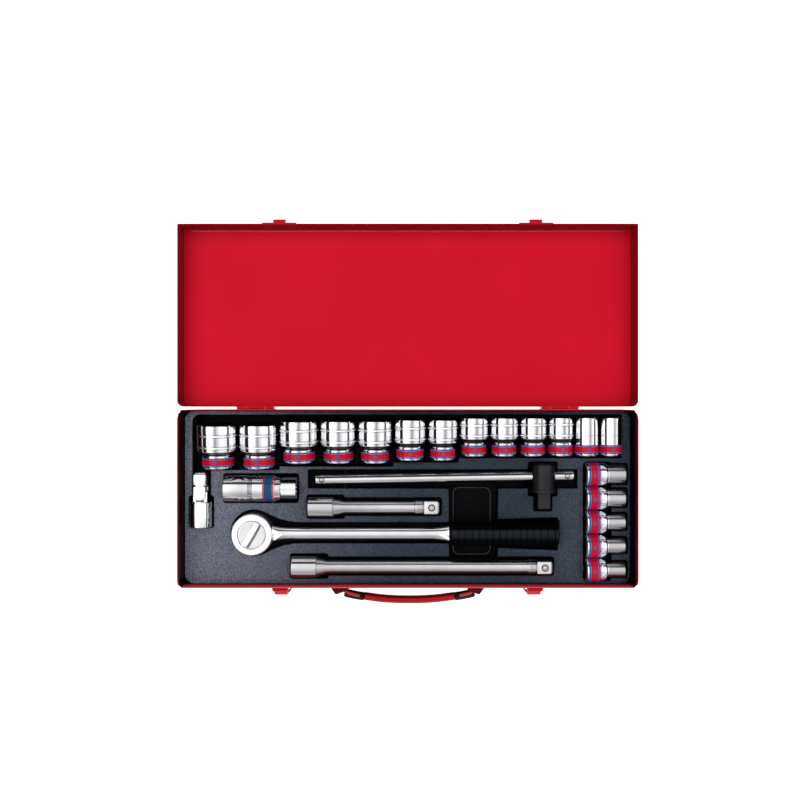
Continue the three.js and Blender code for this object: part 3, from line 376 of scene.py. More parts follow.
# painted shade: the sleeves' red made near black
SLEEVE_SHADE_RED = painted("sleeve red", (0.012, 0.0008, 0.001), (0.006, 0.0005, 0.0007), specular=0.06)
# painted sheen: a paler, pinker copy of the handle red
STRAP_SHEEN_RED = painted("strap red", (0.42, 0.025, 0.04), (0.34, 0.018, 0.03), specular=0.14)
SHADED_RED = painted("shaded red", (0.1, 0.002, 0.004), (0.06, 0.0015, 0.003), specular=0.06)
GRIP_RED = grip_paint()
TRAY = tray_plastic()
RIDGE = painted("tray ridge", (0.03, 0.034, 0.042), (0.02, 0.023, 0.03), (0.3, 0.4), 0.5)
CHROME = metal("chrome", (0.86, 0.86, 0.88), (0.8, 0.8, 0.82), (0.03, 0.06), 0.01)
BRIGHT = metal("bright steel", (0.7, 0.69, 0.71), (0.63, 0.62, 0.64), (0.04, 0.07), 0.01)
SATIN = metal("satin steel", (0.5, 0.49, 0.51), (0.43, 0.42, 0.44), (0.2, 0.24), 0.012, (1, 6, 6), 900.0)
POLISHED_SATIN = metal("polished satin", (0.5, 0.49, 0.51), (0.44, 0.43, 0.45), (0.07, 0.11), 0.02)
HEAD_SATIN = metal("head satin", (0.7, 0.7, 0.71), (0.65, 0.65, 0.66), (0.42, 0.48), 0.04)
DIAL_SATIN = metal("dial satin", (0.63, 0.62, 0.64), (0.58, 0.57, 0.59), (0.3, 0.36), 0.03)
# painted highlight and painted shade: a pure white and a dark copy of the ratchet's steel
HIGHLIGHT_WHITE = metal("head white", (1.0, 1.0, 1.0), (0.97, 0.97, 0.975), (0.24, 0.3), 0.02)
DIAL_SHADE = metal("dial shade", (0.2, 0.2, 0.21), (0.15, 0.15, 0.16), (0.4, 0.5), 0.04)
ROW_CHROME = row_chrome()
BEAD_STEEL = metal("bead steel", (0.92, 0.92, 0.94), (0.86, 0.86, 0.88), (0.24, 0.3), 0.02)
SHAFT_SATIN = metal("shaft satin", (0.66, 0.65, 0.67), (0.6, 0.59, 0.61), (0.06, 0.09), 0.015)
PLUG_SATIN = metal("plug satin", (0.64, 0.63, 0.65), (0.57, 0.56, 0.58), (0.07, 0.1), 0.015)
BLACKENED = metal("blackened steel", (0.034, 0.035, 0.038), (0.024, 0.025, 0.028), (0.28, 0.4), 0.1)
BRONZE = metal("bronze ring", (0.1, 0.075, 0.05), (0.07, 0.05, 0.035), (0.25, 0.4), 0.1)
RUBBER = rubber()
BRIGHT_WHITE = metal("frosted steel", (0.78, 0.78, 0.79), (0.72, 0.72, 0.73), (0.2, 0.27), 0.04)
RED_ENAMEL = painted("red enamel", (0.58, 0.006, 0.026), (0.5, 0.005, 0.022), (0.14, 0.24), 0.12)
BLUE_ENAMEL = painted("blue enamel", (0.035, 0.12, 0.42), (0.025, 0.09, 0.36), (0.14, 0.24), 0.12)
DEEP_BLUE = painted("deep blue enamel", (0.008, 0.075, 0.18), (0.006, 0.06, 0.15), (0.14, 0.24), 0.12)

RED_BAND = (RED_ENAMEL, "red_enamel")
BLUE_BAND = (BLUE_ENAMEL, "blue_enamel")


# ---- Mesh building ----
def shaded(mesh, angle=32):
    mesh.shade_smooth()
    mesh.set_sharp_from_angle(angle=math.radians(angle))


def finish_piece(name, bm, material, body, matrix=None, replaces=(), angle=32):
    bmesh.ops.recalc_face_normals(bm, faces=bm.faces)
    bm.transform(Matrix.Scale(METRE, 4) @ (matrix or Matrix.Identity(4)))
    mesh = bpy.data.meshes.new(name)
    bm.to_mesh(mesh)
    bm.free()
    shaded(mesh, angle)
    mesh.materials.append(material)
    piece = bpy.data.objects.new(name, mesh)
    bpy.context.scene.collection.objects.link(piece)
    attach(piece, body)
    if replaces:
        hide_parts(*replaces)
    return piece


def ring(radius, place):
    """Points round the Y axis. Radius and place may vary with the turn, which starts at +Z."""
    points = []
    for i in range(RING):
        turn = 2 * math.pi * i / RING
        r = radius(turn) if callable(radius) else radius
        y = place(turn) if callable(place) else place
        points.append((r * math.sin(turn), y, r * math.cos(turn)))
    return points


def loft(rings, closed=False):
    bm = bmesh.new()
    rows = [[bm.verts.new(point) for point in points] for points in rings]
    count = len(rows[0])
    pairs = list(zip(rows, rows[1:]))
    if closed:
        pairs.append((rows[-1], rows[0]))
    for a, b in pairs:
        for i in range(count):
            j = (i + 1) % count
            bm.faces.new((a[i], a[j], b[j], b[i]))
    if not closed:
        bm.faces.new(rows[0])
        bm.faces.new(rows[-1])
    return bm


def turned(profile, closed=False):
    return loft([ring(radius, place) for radius, place in profile], closed)


def hoop(radius, low, high, depth, slope):
    """A ring of a given depth whose outer edges slope in."""
    return turned(
        [(radius - depth, low), (radius, low + slope), (radius, high - slope), (radius - depth, high)], True
    )


def flats(count, across, corner=None, turn=0.0):
    """The radius of a bar with flats, by its width across flats; corner limits the radius."""
    step = 2 * math.pi / count

    def radius(angle):
        off = (angle - turn) % step - step / 2
        r = across / 2 / math.cos(off)
        return min(r, corner) if corner else r

    return radius


def square_bar(across, corner=None):
    """A square bar that lies flat."""
    return flats(4, across, corner, math.pi / 4)


def arc(r0, y0, r1, y1, steps=4, convex=True):
    """Profile points on a quarter ellipse from (r0, y0) to (r1, y1), the first point left out."""
    points = []
    for i in range(1, steps + 1):
        t = math.pi / 2 * i / steps
        if convex:
            points.append((r0 + (r1 - r0) * math.sin(t), y0 + (y1 - y0) * (1 - math.cos(t))))
        else:
            points.append((r0 + (r1 - r0) * (1 - math.cos(t)), y0 + (y1 - y0) * math.sin(t)))
    return points


def bevelled(bm, width, segments=2, angle=30):
    edges = [e for e in bm.edges if e.is_manifold and e.calc_face_angle(0) > math.radians(angle)]
    bmesh.ops.bevel(
        bm, geom=edges, offset=width, segments=segments, profile=0.6, affect="EDGES", clamp_overlap=True
    )
    return bm


def extruded(outline, low, high, axis="Z"):
    """An outline drawn along an axis. The outline is in XY, YZ or XZ for axis Z, X or Y."""
    bm = bmesh.new()
    place = {
        "Z": lambda a, b, c: (a, b, c), "X": lambda a, b, c: (c, a, b), "Y": lambda a, b, c: (a, c, b)
    }[axis]
    bottom = [bm.verts.new(place(a, b, low)) for a, b in outline]
    top = [bm.verts.new(place(a, b, high)) for a, b in outline]
    count = len(outline)
    for i in range(count):
        j = (i + 1) % count
        bm.faces.new((bottom[i], bottom[j], top[j], top[i]))
    bm.faces.new(bottom)
    bm.faces.new(top)
    bmesh.ops.recalc_face_normals(bm, faces=bm.faces)
    return bm


def block(x0, x1, y0, y1, z0, z1, width=0.3):
    bm = extruded([(x0, y0), (x1, y0), (x1, y1), (x0, y1)], z0, z1)
    return bevelled(bm, width)


def joined(*parts):
    whole = bmesh.new()
    for part in parts:
        mesh = bpy.data.meshes.new("part")
        part.to_mesh(mesh)
        part.free()
        whole.from_mesh(mesh)
        bpy.data.meshes.remove(mesh)
    return whole


def moved(bm, matrix):
    bm.transform(matrix)
    return bm


def shift(x, y, z):
    return Matrix.Translation((x, y, z))


ALONG_X = Matrix.Rotation(-math.pi / 2, 4, "Z")  # turns +Y to +X
ALONG_Z = Matrix.Rotation(math.pi / 2, 4, "X")  # turns +Y to +Z


# ---- Sockets ----
def bead(radius, place, height=0.45, half=0.75, groove=0.5):
    """A raised line round a socket between two fine grooves."""
    return [
        (radius, place - half - 0.8), (radius - groove, place - half - 0.5),
        (radius - groove, place - half), (radius + height, place - half + 0.2),
        (radius + height, place + half - 0.2), (radius - groove, place + half),
        (radius - groove, place + half + 0.5), (radius, place + half + 0.8),
    ]


def mouth(radius, hexagon, length):
    """The open end: a rounded rim, a cone that meets the hexagon in six scallops, and the hexagon."""
    circle = hexagon / 2 / math.cos(math.pi / 6) + 0.15
    bore = flats(6, hexagon, circle - 0.35)
    return [
        (radius, length - 0.9), (radius - 0.25, length - 0.3), (radius - 0.8, length), (circle, length),
        (bore, lambda turn: length - 0.3 - 0.75 * (circle - bore(turn))), (bore, 19),
    ]


def drive_hole(depth, flare=1.4, edge=0.9, start=0):
    """A square drive hole, from its bottom to its flared edge."""
    square = square_bar(DRIVE_SQUARE, 8.3)
    return [(square, depth), (square, start + edge), (square_bar(DRIVE_SQUARE + flare, 9.0), start)]


def drive_recess(depth):
    return [(7.4, depth + 1.5), *drive_hole(depth)]


def socket_bands(
    name, radius, start, width, edge, body, matrix, middle=RED_BAND, edges=BLUE_BAND, mark=True
):
    red = hoop(radius + 0.1, start + edge, start + width - edge, 0.4, 0)
    finish_piece(f"{name}_band", red, middle[0], body, matrix)
    rims = []
    for low in (start, start + width - edge):
        rims.append(hoop(radius + 0.12, low + 0.02, low + edge - 0.02, 0.42, 0.08))
    if mark:
        # a plain lozenge stands in for the size printed on the real band
        centre = start + width / 2
        lozenge = [(0, centre - 1.7), (0.17, centre), (0, centre + 1.7), (-0.17, centre)]
        bm = bmesh.new()
        layers = []
        for r in (radius, radius + 0.16):
            layers.append([bm.verts.new((r * math.sin(t), y, r * math.cos(t))) for t, y in lozenge])
        bm.faces.new(layers[0])
        bm.faces.new(layers[1])
        for i in range(4):
            j = (i + 1) % 4
            bm.faces.new((layers[0][i], layers[0][j], layers[1][j], layers[1][i]))
        rims.append(bm)
    finish_piece(f"{name}_band_edges", joined(*rims), edges[0], body, matrix)


def row_sockets():
    left = ROW_LEFT
    for index, (size, body, band, length, step) in enumerate(ROW):
        x = left + body / 2
        left += body + ROW_GAP
        lean = math.radians(max(0, (body - band) * LEAN_PER_STEP))
        z = ROW_AXIS_Z - length / 2 * math.sin(lean)
        matrix = shift(x, STEP_DRIVES[step], z) @ Matrix.Rotation(lean, 4, "X")
        radius, rim = body / 2, band / 2
        shoulder = LIP + BAND
        profile = drive_recess(13.5)
        profile += [(rim - 1.5, 0), *arc(rim - 1.5, 0, rim, LIP - 0.2, 5)]
        profile += [(rim, shoulder)]
        if band > body:
            profile += [(rim - 0.15, shoulder + 0.25), (radius, shoulder + 0.9)]
            line = length - 0.65 * (length - shoulder)
            profile += [
                (radius, line - 0.25), (radius - 0.22, line - 0.15), (radius - 0.22, line + 0.15),
                (radius, line + 0.25),
            ]
        else:
            waist = rim - 1.5
            profile += [(rim - 0.2, shoulder + 0.3)]
            profile += arc(rim - 0.2, shoulder + 0.3, waist, shoulder + 2.6, 6, False)
            profile += [(waist, BODY_START - 2.3), (radius - 0.5, BODY_START + 0.6)]
            profile += arc(radius - 0.5, BODY_START + 0.6, radius, BODY_START + 1.3, 3)
            share = 0.38 - 0.08 * index / (len(ROW) - 1)
            near = length - 0.81 * (length - BODY_START)
            far = length - share * (length - BODY_START)
            profile += bead(radius, near)
            if size <= 20:
                ridge = near + 2.2
                while ridge < far - 2.2:
                    profile += [(radius, ridge - 0.3), (radius - 0.08, ridge), (radius, ridge + 0.3)]
                    ridge += 1.1
            profile += bead(radius, far)
        profile += mouth(radius, body * WALL_RATIO, length)
        name = f"socket_{size}"
        finish_piece(f"{name}_polished", turned(profile, True), ROW_CHROME, name, matrix, [name])
        if band <= body:
            beads = joined(*(hoop(radius + 0.5, at - 0.8, at + 0.8, 0.6, 0.2) for at in (near, far)))
            finish_piece(f"{name}_beads", beads, BEAD_STEEL, name, matrix)
            # painted shade: a dark ring of blackened steel in the neck, where the real socket is plain
            # chrome in shade
            low, high = BODY_START - 3.1, BODY_START + 0.45
            cone = [(waist - 0.4, low), (waist + 0.15, low), (waist + 0.15, BODY_START - 2.5)]
            cone += [(radius - 0.5, high), (radius - 1.2, high + 0.1)]
            finish_piece(f"{name}_neck_shade", turned(cone, True), BLACKENED, name, matrix)
        socket_bands(name, rim, LIP, BAND, BAND_EDGE, name, matrix)


def column_sockets():
    for index, (size, end) in enumerate(COLUMN):
        matrix = shift(COLUMN_X, COLUMN_Y - index * COLUMN_PITCH, TOOL_Z) @ ALONG_X
        rim, slim = COLUMN_DRIVE / 2, end / 2
        step = COLUMN_LIP + COLUMN_BAND
        knurl_end = COLUMN_SHOULDER - 2.4
        profile = drive_recess(15.5)
        profile += [(rim - 1.4, 0), *arc(rim - 1.4, 0, rim, 1.4, 5), (rim, step)]
        profile += [(rim - 0.35, step + 0.3), (rim - 0.35, step + 0.7), (rim - 0.1, step + 1)]
        if size < 14:
            knurl = lambda turn: rim - 0.1 - 0.35 * (math.sin(16 * turn) > 0)
            for place in (step + 1.3, step + 1.9, knurl_end - 1.9, knurl_end - 1.2):
                profile += [(knurl, place)]
        profile += [(rim - 0.1, knurl_end - 0.9), (rim - 0.5, knurl_end - 0.5)]
        profile += [(rim - 0.5, knurl_end), (rim - 0.25, knurl_end + 0.4)]
        profile += arc(rim - 0.25, knurl_end + 0.8, slim, COLUMN_SHOULDER + 1.4, 6, False)
        profile += mouth(slim, end * WALL_RATIO, COLUMN_LENGTH)[:-1]
        profile += [(flats(6, end * WALL_RATIO), 17.5)]
        name = f"socket_{size}"
        finish_piece(f"{name}_polished", turned(profile, True), CHROME, name, matrix, [name])
        sleeve = hoop(slim + 0.06, COLUMN_SHOULDER + 2.2, COLUMN_LENGTH - 1.1, 0.26, 0.1)
        finish_piece(f"{name}_satin_end", sleeve, SATIN, name, matrix)
        socket_bands(name, rim, COLUMN_LIP, COLUMN_BAND, 2, name, matrix)


def spark_plug_socket():
    along = Matrix.Rotation(math.pi / 2, 4, "Z")
    matrix = shift(PLUG["x"], PLUG["y"], TOOL_Z) @ along
    across, drive, taper = PLUG["flats"], PLUG["drive"], PLUG["taper"]
    radius, length = PLUG["body"] / 2, PLUG["length"]
    hexagon = flats(6, across, across / 2 / math.cos(math.pi / 6) - 0.25, math.pi / 6)
    bore = flats(6, 20.8)
    tip = -2.4
    profile = [(7.4, 15.5), *drive_hole(15, start=tip)]
    profile += [(across / 2 - 0.9, tip), (hexagon, tip + 1.1), (hexagon, drive)]
    profile += [(across / 2 + 0.1, drive + 0.7), (across / 2 + 1.1, drive + 1.2)]
    profile += [(radius - 0.7, taper - 0.4), (radius, taper + 0.3)]
    knurl = length - 28.2
    profile += [(radius, knurl), (radius - 0.3, knurl + 0.3)]
    for i in range(4):
        profile += [(radius - 0.1, knurl + 0.6 + i * 1.1), (radius - 0.3, knurl + 1.1 + i * 1.1)]
    profile += [(radius, knurl + 5), (radius, length - 0.9)]
    profile += arc(radius, length - 0.9, radius - 0.9, length, 4, False)
    profile += [(11.2, length), (bore, length - 1), (bore, length - 30), (8.6, length - 30.5)]
    profile += [(8.6, 28.5), (4, 28), (4, 16)]
    body = "spark_plug_socket"
    finish_piece(f"{body}_polished", turned(profile, True), PLUG_SATIN, body, matrix, [body])
    blue = (DEEP_BLUE, "blue_enamel")
    socket_bands("spark_plug", radius, 19.3, 10.4, 1.3, body, matrix, blue, RED_BAND, False)
    holder = turned([(5.4, 29.2), (8.2, 29.2), (8.2, 37), (7.6, 37.2), (5.6, 37.2), (5.4, 37)], True)
    finish_piece("spark_plug_rubber", holder, RUBBER, body, matrix, ["spark_plug_holder"])


# ---- Long tools ----
def detent(name, body, matrix, radius, face, ball_body=None, replaces=()):
    """A spring ball in a bronze ring, on a face that looks along +Z."""
    bezel = turned(
        [
            (radius + 0.1, face - 1), (radius + 0.1, face + 0.14), (radius + 0.7, face + 0.34),
            (radius + 1.4, face + 0.18), (radius + 1.5, face - 1),
        ],
        True,
    )
    finish_piece(f"{name}_ring", bezel, BRONZE, body, matrix @ ALONG_Z)
    ball = bmesh.new()
    bmesh.ops.create_icosphere(ball, subdivisions=3, radius=radius)
    ball.transform(shift(0, 0, face - radius * 0.55))
    finish_piece(f"{name}_ball", ball, BRIGHT, ball_body or body, matrix, list(replaces), 60)


def extension(kind):
    tool = EXTENSIONS[kind]
    body = f"extension_{kind}"
    matrix = shift(tool["x"], tool["y"], TOOL_Z) @ ALONG_X
    length, female, shaft = tool["length"], tool["female"] / 2, tool["shaft"] / 2
    male = length - 15
    collar = male - 7.8
    square = square_bar(DRIVE_SQUARE, 8.35)
    nose = square_bar(DRIVE_SQUARE - 1.2, 7.4)
    tip = square_bar(DRIVE_SQUARE - 3, 6.4)
    profile = drive_hole(16, 1.3, 0.8)
    profile += [(female - 1.2, 0), *arc(female - 1.2, 0, female, 1, 4)]
    profile += [(female, 23.2), *arc(female, 23.2, female - 0.9, 24.6, 4, False)]
    profile += [
        (female - 1.6, 26), (shaft + 1.5, 30), (shaft + 0.4, 33), (shaft, 35.5), (shaft, collar - 1.6),
        (shaft + 0.3, collar - 1), (shaft + 0.8, collar - 0.2), (shaft + 0.95, collar + 1.4),
        (shaft + 0.8, collar + 3), (shaft + 0.7, male - 1.2), (shaft + 0.1, male - 0.3),
        (square, male + 0.2), (square, length - 2.1), (nose, length - 0.7), (tip, length),
    ]
    finish_piece(f"{body}_bar", turned(profile), SATIN, body, matrix, [body])
    sleeve = hoop(female + 0.05, 0.9, 23.4, 0.35, 0.2)
    finish_piece(f"{body}_polished_end", sleeve, POLISHED_SATIN, body, matrix)
    cheeks = [block(-5.4, 5.4, male + 0.8, length - 2, z - 0.14, z + 0.14, 0.1) for z in (-6.3, 6.3)]
    finish_piece(f"{body}_bright_faces", joined(*cheeks), HEAD_SATIN, body, matrix)
    ball = f"detent_ball_{kind}"
    place = matrix @ shift(0, length - 7.5, 0)
    detent(f"{body}_detent", body, place, 2.1, 6.4, ball, [ball])


def sliding_bar():
    angle = math.radians(BAR["angle"])
    matrix = shift(BAR["x"], BAR["y"], TOOL_Z) @ Matrix.Rotation(angle, 4, "Z") @ ALONG_X
    radius, length = BAR["radius"], BAR["length"]

    def wear_and_painted_light(turn):
        lean = 2 * math.pi - turn - math.radians(26)
        return min(radius, radius * 0.955 / math.cos(lean)) if abs(lean) < 0.6 else radius

    profile = [(radius - 1.1, 0), *arc(radius - 1.1, 0, radius, 1.1, 4)]
    profile += [(wear_and_painted_light, 2), (wear_and_painted_light, length - 2)]
    profile += [(radius, length - 1.1), *arc(radius, length - 1.1, radius - 1.1, length, 4, False)]
    finish_piece("t_bar_polished", turned(profile), BRIGHT, "t_bar", matrix, ["t_bar_rod"])
    for name, place in (("near", 6.3), ("far", length - 6.6)):
        detent(f"t_bar_stop_{name}", "t_bar", matrix @ shift(0, place, 0), 1.5, radius - 0.25)

    outer, depth, reach = SLIDER["radius"], SLIDER["length"], SLIDER["square"]
    square = square_bar(DRIVE_SQUARE, 8.3)
    nose = square_bar(DRIVE_SQUARE - 1.6, 7.2)
    profile = [
        (nose, -reach), (square, 1.2 - reach), (square, -0.2), (7.6, 0), (outer - 0.4, 0),
        (outer + 0.8, 0.7), (outer + 0.9, 1.6), (outer + 0.9, 3.2), (outer + 0.4, 3.6), (outer + 0.5, 4),
        (outer + 0.5, depth - 1.8), (outer - 0.3, depth - 0.6), (outer - 1.4, depth),
    ]
    body, place = "t_bar_slider", shift(SLIDER["x"], SLIDER["y"], TOOL_Z)
    finish_piece(f"{body}_block", turned(profile), BLACKENED, body, place, [body])


def fork(base, tip_sign, half=4.2, tip=3.6, gap=3.6, reach=6.8):
    """Two cheeks either side of the X axis, rounded round the joint's centre."""
    centre = JOINT["centre"]
    outline = [(base, -half), (base, half)]
    for i in range(13):
        turn = math.pi * i / 12
        round_tip = abs(math.sin(turn)) ** 0.6
        outline.append((centre + tip_sign * tip * round_tip, half * math.cos(turn)))
    parts = []
    for side in (-1, 1):
        cheek = extruded(outline, min(side * gap, side * reach), max(side * gap, side * reach), "X")
        parts.append(bevelled(cheek, 0.5, 2, 25))
    return parts


def universal_joint():
    matrix = shift(JOINT["x"], JOINT["y"], TOOL_Z)
    radius, centre, length = JOINT["female"] / 2, JOINT["centre"], JOINT["length"]
    base, top = centre - 7, centre + 7
    profile = [*drive_hole(16, 1.3, 0.8), (radius - 1, 0)]
    profile += arc(radius - 1, 0, radius, 0.9, 4)
    profile += [(radius, base - 1.2), (radius - 0.3, base - 0.5), (8.4, base + 0.2), (7.4, base + 0.5)]
    yoke = joined(turned(profile), *fork(base - 0.2, 1))
    target = "joint_socket_yoke"
    finish_piece(f"{target}_polished", yoke, CHROME, "universal_joint", matrix, [target])
    pins = [block(-3.2, 3.2, centre - 3.2, centre + 3.2, -3.2, 3.2, 0.5)]
    for turn in (ALONG_X, ALONG_Z):
        pins.append(moved(turned([(1.9, -6.6), (1.9, 6.6)]), shift(0, centre, 0) @ turn))
    pins = joined(*pins)
    finish_piece("joint_cross_steel", pins, SATIN, "joint_cross", matrix, ["joint_cross"])
    square = square_bar(DRIVE_SQUARE, 8.4)
    middle = square_bar(DRIVE_SQUARE, 8.2)
    tang = turned(
        [
            (6.2, top - 0.3), (7, top + 0.5), (middle, top + 2.5), (square, length - 4.4),
            (square_bar(DRIVE_SQUARE - 0.8, 7.9), length - 2.4),
            (square_bar(DRIVE_SQUARE - 3.4, 6.6), length - 0.8),
            (square_bar(DRIVE_SQUARE - 6, 5), length),
        ]
    )
    ears = [moved(ear, Matrix.Rotation(math.pi / 2, 4, "Y")) for ear in fork(top + 0.4, -1, 5.6, 5.7)]
    body, drive = "joint_drive_yoke", joined(tang, *ears)
    finish_piece(f"{body}_satin", drive, BRIGHT_WHITE, body, matrix, [body])


# ---- Ratchet ----
def ratchet():
    matrix = Matrix.Translation(RATCHET)
    seat = DIAL_RADIUS + 0.25
    top = HEAD_HALF
    outline = [(9.8, -top), (HEAD_RADIUS - 2.6, -top)]
    outline += arc(HEAD_RADIUS - 2.6, -top, HEAD_RADIUS, 2.4 - top, 6)
    outline += [(HEAD_RADIUS, top - 1.7)]
    outline += arc(HEAD_RADIUS, top - 1.7, HEAD_RADIUS - 2, top, 6, False)
    outline += [(seat + 0.3, top), (seat, top - 0.3), (seat, top - 2.2), (9.8, top - 2.4)]
    head = moved(turned(outline, True), ALONG_Z)
    shaft_rings = []
    shaft_profile = [
        (14.5, 9.2, 7.6), (19, 8.2, 6.8), (24, 6.9, 6.1), (30, 6, 5.7), (38, 5.8, 5.6), (172, 5.8, 5.6),
        (178, 6.4, 5.9), (184, 7.1, 6.5), (187.6, 7.8, 7), (188.2, 7.4, 6.6),
    ]
    for place, wide, tall in shaft_profile:
        points = []
        for i in range(RING):
            turn = 2 * math.pi * i / RING
            points.append((math.sin(turn) * wide, place, math.cos(turn) * tall))
        shaft_rings.append(points)
    shaft = moved(loft(shaft_rings), ALONG_X)
    finish_piece("ratchet_head", head, HIGHLIGHT_WHITE, "ratchet", matrix, ["ratchet_body"])
    finish_piece("ratchet_shaft", shaft, SHAFT_SATIN, "ratchet", matrix)
    # painted highlight: white wedges at both ends of the shaft
    wedges = []
    for outline in (
        [(19, 5.2), (20.4, -5.6), (22, -5.4), (29.6, 0.4), (22, 4)],
        [(177.5, -0.4), (187.4, 4.6), (187.8, -5.6), (186, -5.2)],
    ):
        wedges.append(bevelled(extruded(outline, 2, 6.5), 0.35, 2))
    finish_piece("ratchet_neck_facets", joined(*wedges), HIGHLIGHT_WHITE, "ratchet", matrix)
    low = HEAD_HALF - 2
    disc = [(2, low), (DIAL_RADIUS - 0.1, low), (DIAL_RADIUS - 0.1, low + 1.5)]
    disc += arc(DIAL_RADIUS - 0.1, low + 1.5, DIAL_RADIUS - 0.8, low + 2, 3, False)
    disc += [(DIAL_RADIUS - 2.2, low + 1.95), (2, low + 1.9)]
    plate = moved(turned(disc, True), ALONG_Z)
    lid = moved(turned([(2.2, low + 0.2), (2.2, low + 1.9)]), ALONG_Z)
    reach = DIAL_RADIUS - 0.9
    bar_outline = [(-3.4, -reach), (1.5, -reach), (1.9, 0), (1.5, reach), (-3.2, reach), (-3.6, 0)]
    bar = bevelled(extruded(bar_outline, low + 1, HEAD_HALF + 1.6), 0.3, 2)
    spin = Matrix.Rotation(math.radians(DIAL_TURN), 4, "Z")
    bar.transform(spin)
    # painted shade: dark steel on the bar's right slope and a dark line along its left edge
    slope = [(1.4, -reach + 0.2), (3.6, -reach + 0.7), (4, 0), (3.6, reach - 0.7), (1.4, reach - 0.2)]
    slope = bevelled(extruded(slope, low + 1.2, HEAD_HALF + 1.2), 0.2, 2)
    edge = [(-4, 2 - reach), (-3.4, 2 - reach), (-3.4, reach - 2), (-4, reach - 2)]
    shade = joined(moved(slope, spin), moved(extruded(edge, low + 1, low + 2.1), spin))
    body = "ratchet_dial"
    finish_piece(f"{body}_slope", shade, DIAL_SHADE, body, matrix)
    finish_piece(f"{body}_bar", bar, HIGHLIGHT_WHITE, body, matrix)
    finish_piece(f"{body}_satin", joined(plate, lid), DIAL_SATIN, body, matrix, [body])
    hub = moved(turned([(9.4, 0.3 - HEAD_HALF), (9.4, 0.6)]), ALONG_Z)
    half = DRIVE_SQUARE / 2
    body = "ratchet_anvil"
    tip = block(-half, half, -half, half, 2.6 - RATCHET.z, 0.6 - HEAD_HALF, 0.5)
    finish_piece(f"{body}_square", joined(hub, tip), BRIGHT, body, matrix, [body])

    start, end = GRIP["start"] + 0.3, GRIP["end"]
    profile = [(5.4, start), (GRIP["front"] - 1.6, start), (GRIP["front"], start + 1.2)]
    ribs, pitch = 15, 6.5

    def grip_radius(place):
        share = (place - start) / (end - start)
        bulge = 0.5 * math.sin(math.pi * min(1, share * 2.4))
        return GRIP["front"] + bulge * 0.6 + max(0, share - 0.45) * 3.4

    for i in range(ribs):
        at = start + 2.4 + i * pitch
        r = grip_radius(at)
        profile += [
            (r, at), (r + 0.1, at + 1.2), (r, at + pitch - 1.9), (r - 0.75, at + pitch - 1.5),
            (r - 0.75, at + pitch - 0.9), (r, at + pitch - 0.5),
        ]
    profile += [(GRIP["rear"], end - 3.6), (GRIP["rear"] - 0.1, end - 1.8)]
    profile += arc(GRIP["rear"] - 0.1, end - 1.8, GRIP["rear"] - 2, end, 4, False)
    finish_piece(
        "ratchet_grip_rubber", turned(profile), RUBBER, "ratchet", matrix @ ALONG_X, ["ratchet_grip"],
    )


# ---- Case ----
def soften(node, material, width):
    """Merges the frame's split edges and rounds them, without touching its mesh."""
    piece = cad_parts[node]
    piece.data.materials.clear()
    piece.data.materials.append(material)
    piece.data.shade_smooth()
    weld = piece.modifiers.new("weld", "WELD")
    weld.merge_threshold = 0.00001
    planar = piece.modifiers.new("planar", "DECIMATE")
    planar.decimate_type = "DISSOLVE"
    planar.angle_limit = math.radians(1)
    bevel = piece.modifiers.new("bevel", "BEVEL")
    bevel.width = width * METRE
    bevel.segments = 2
    bevel.limit_method = "ANGLE"
    bevel.angle_limit = math.radians(28)
    bevel.harden_normals = True
    bevel.use_clamp_overlap = False


def red_part(target, bm, body, angle=32):
    """A red steel part that stands in for the frame's part of the same name."""
    finish_piece(f"{target}_red", bm, CASE_RED, body, None, [target], angle)


def tube_x(radius, x0, x1, y, z, bevel=0.3):
    profile = [(radius - bevel, x0), (radius, x0 + bevel), (radius, x1 - bevel), (radius - bevel, x1)]
    return moved(turned(profile), shift(0, y, z) @ ALONG_X)


def hinges():
    knuckle, radius, wall = 8.3, 1.6, REAR_WALL
    for side, name in ((-1, "left"), (1, "right")):
        start = side * HINGE_X - HINGE_LENGTH / 2
        end = start + HINGE_LENGTH
        leaf = [block(start, end, wall, wall + 0.8, HINGE_Z - 11, HINGE_Z, 0.2)]
        for a, b in ((start, start + knuckle), (end - knuckle, end)):
            leaf.append(tube_x(radius, a, b, HINGE_Y, HINGE_Z))
            leaf.append(block(a, b, wall, HINGE_Y - 0.9, HINGE_Z - 1.2, HINGE_Z + 0.9, 0.2))
        red_part(f"hinge_leaf_base_{name}", joined(*leaf), "case")
        left, right = start + knuckle + 0.4, end - knuckle - 0.4
        leaf = joined(
            block(start, end, HINGE_Y - 0.6, HINGE_Y, HINGE_Z - 11, HINGE_Z - 2, 0.2),
            block(left, right, HINGE_Y - 0.6, HINGE_Y, HINGE_Z - 3, HINGE_Z - 1.1, 0.1),
            tube_x(radius, left, right, HINGE_Y, HINGE_Z),
        )
        red_part(f"hinge_leaf_lid_{name}", leaf, "lid")
        target = f"hinge_pin_{name}"
        pin = tube_x(0.7, start - 0.5, end + 0.5, HINGE_Y, HINGE_Z, 0.2)
        finish_piece(f"{target}_steel", pin, BRIGHT, "case", None, [target])


def wire_loop(points, radius, up=Vector((0, 1, 0)), sides=16):
    """A closed wire through the points."""
    count = len(points)
    rings = []
    for i, point in enumerate(points):
        along = (points[(i + 1) % count] - points[i - 1]).normalized()
        out = along.cross(up).normalized()
        turns = [2 * math.pi * j / sides for j in range(sides)]
        rings.append([point + out * radius * math.cos(t) + up * radius * math.sin(t) for t in turns])
    return loft(rings, True)


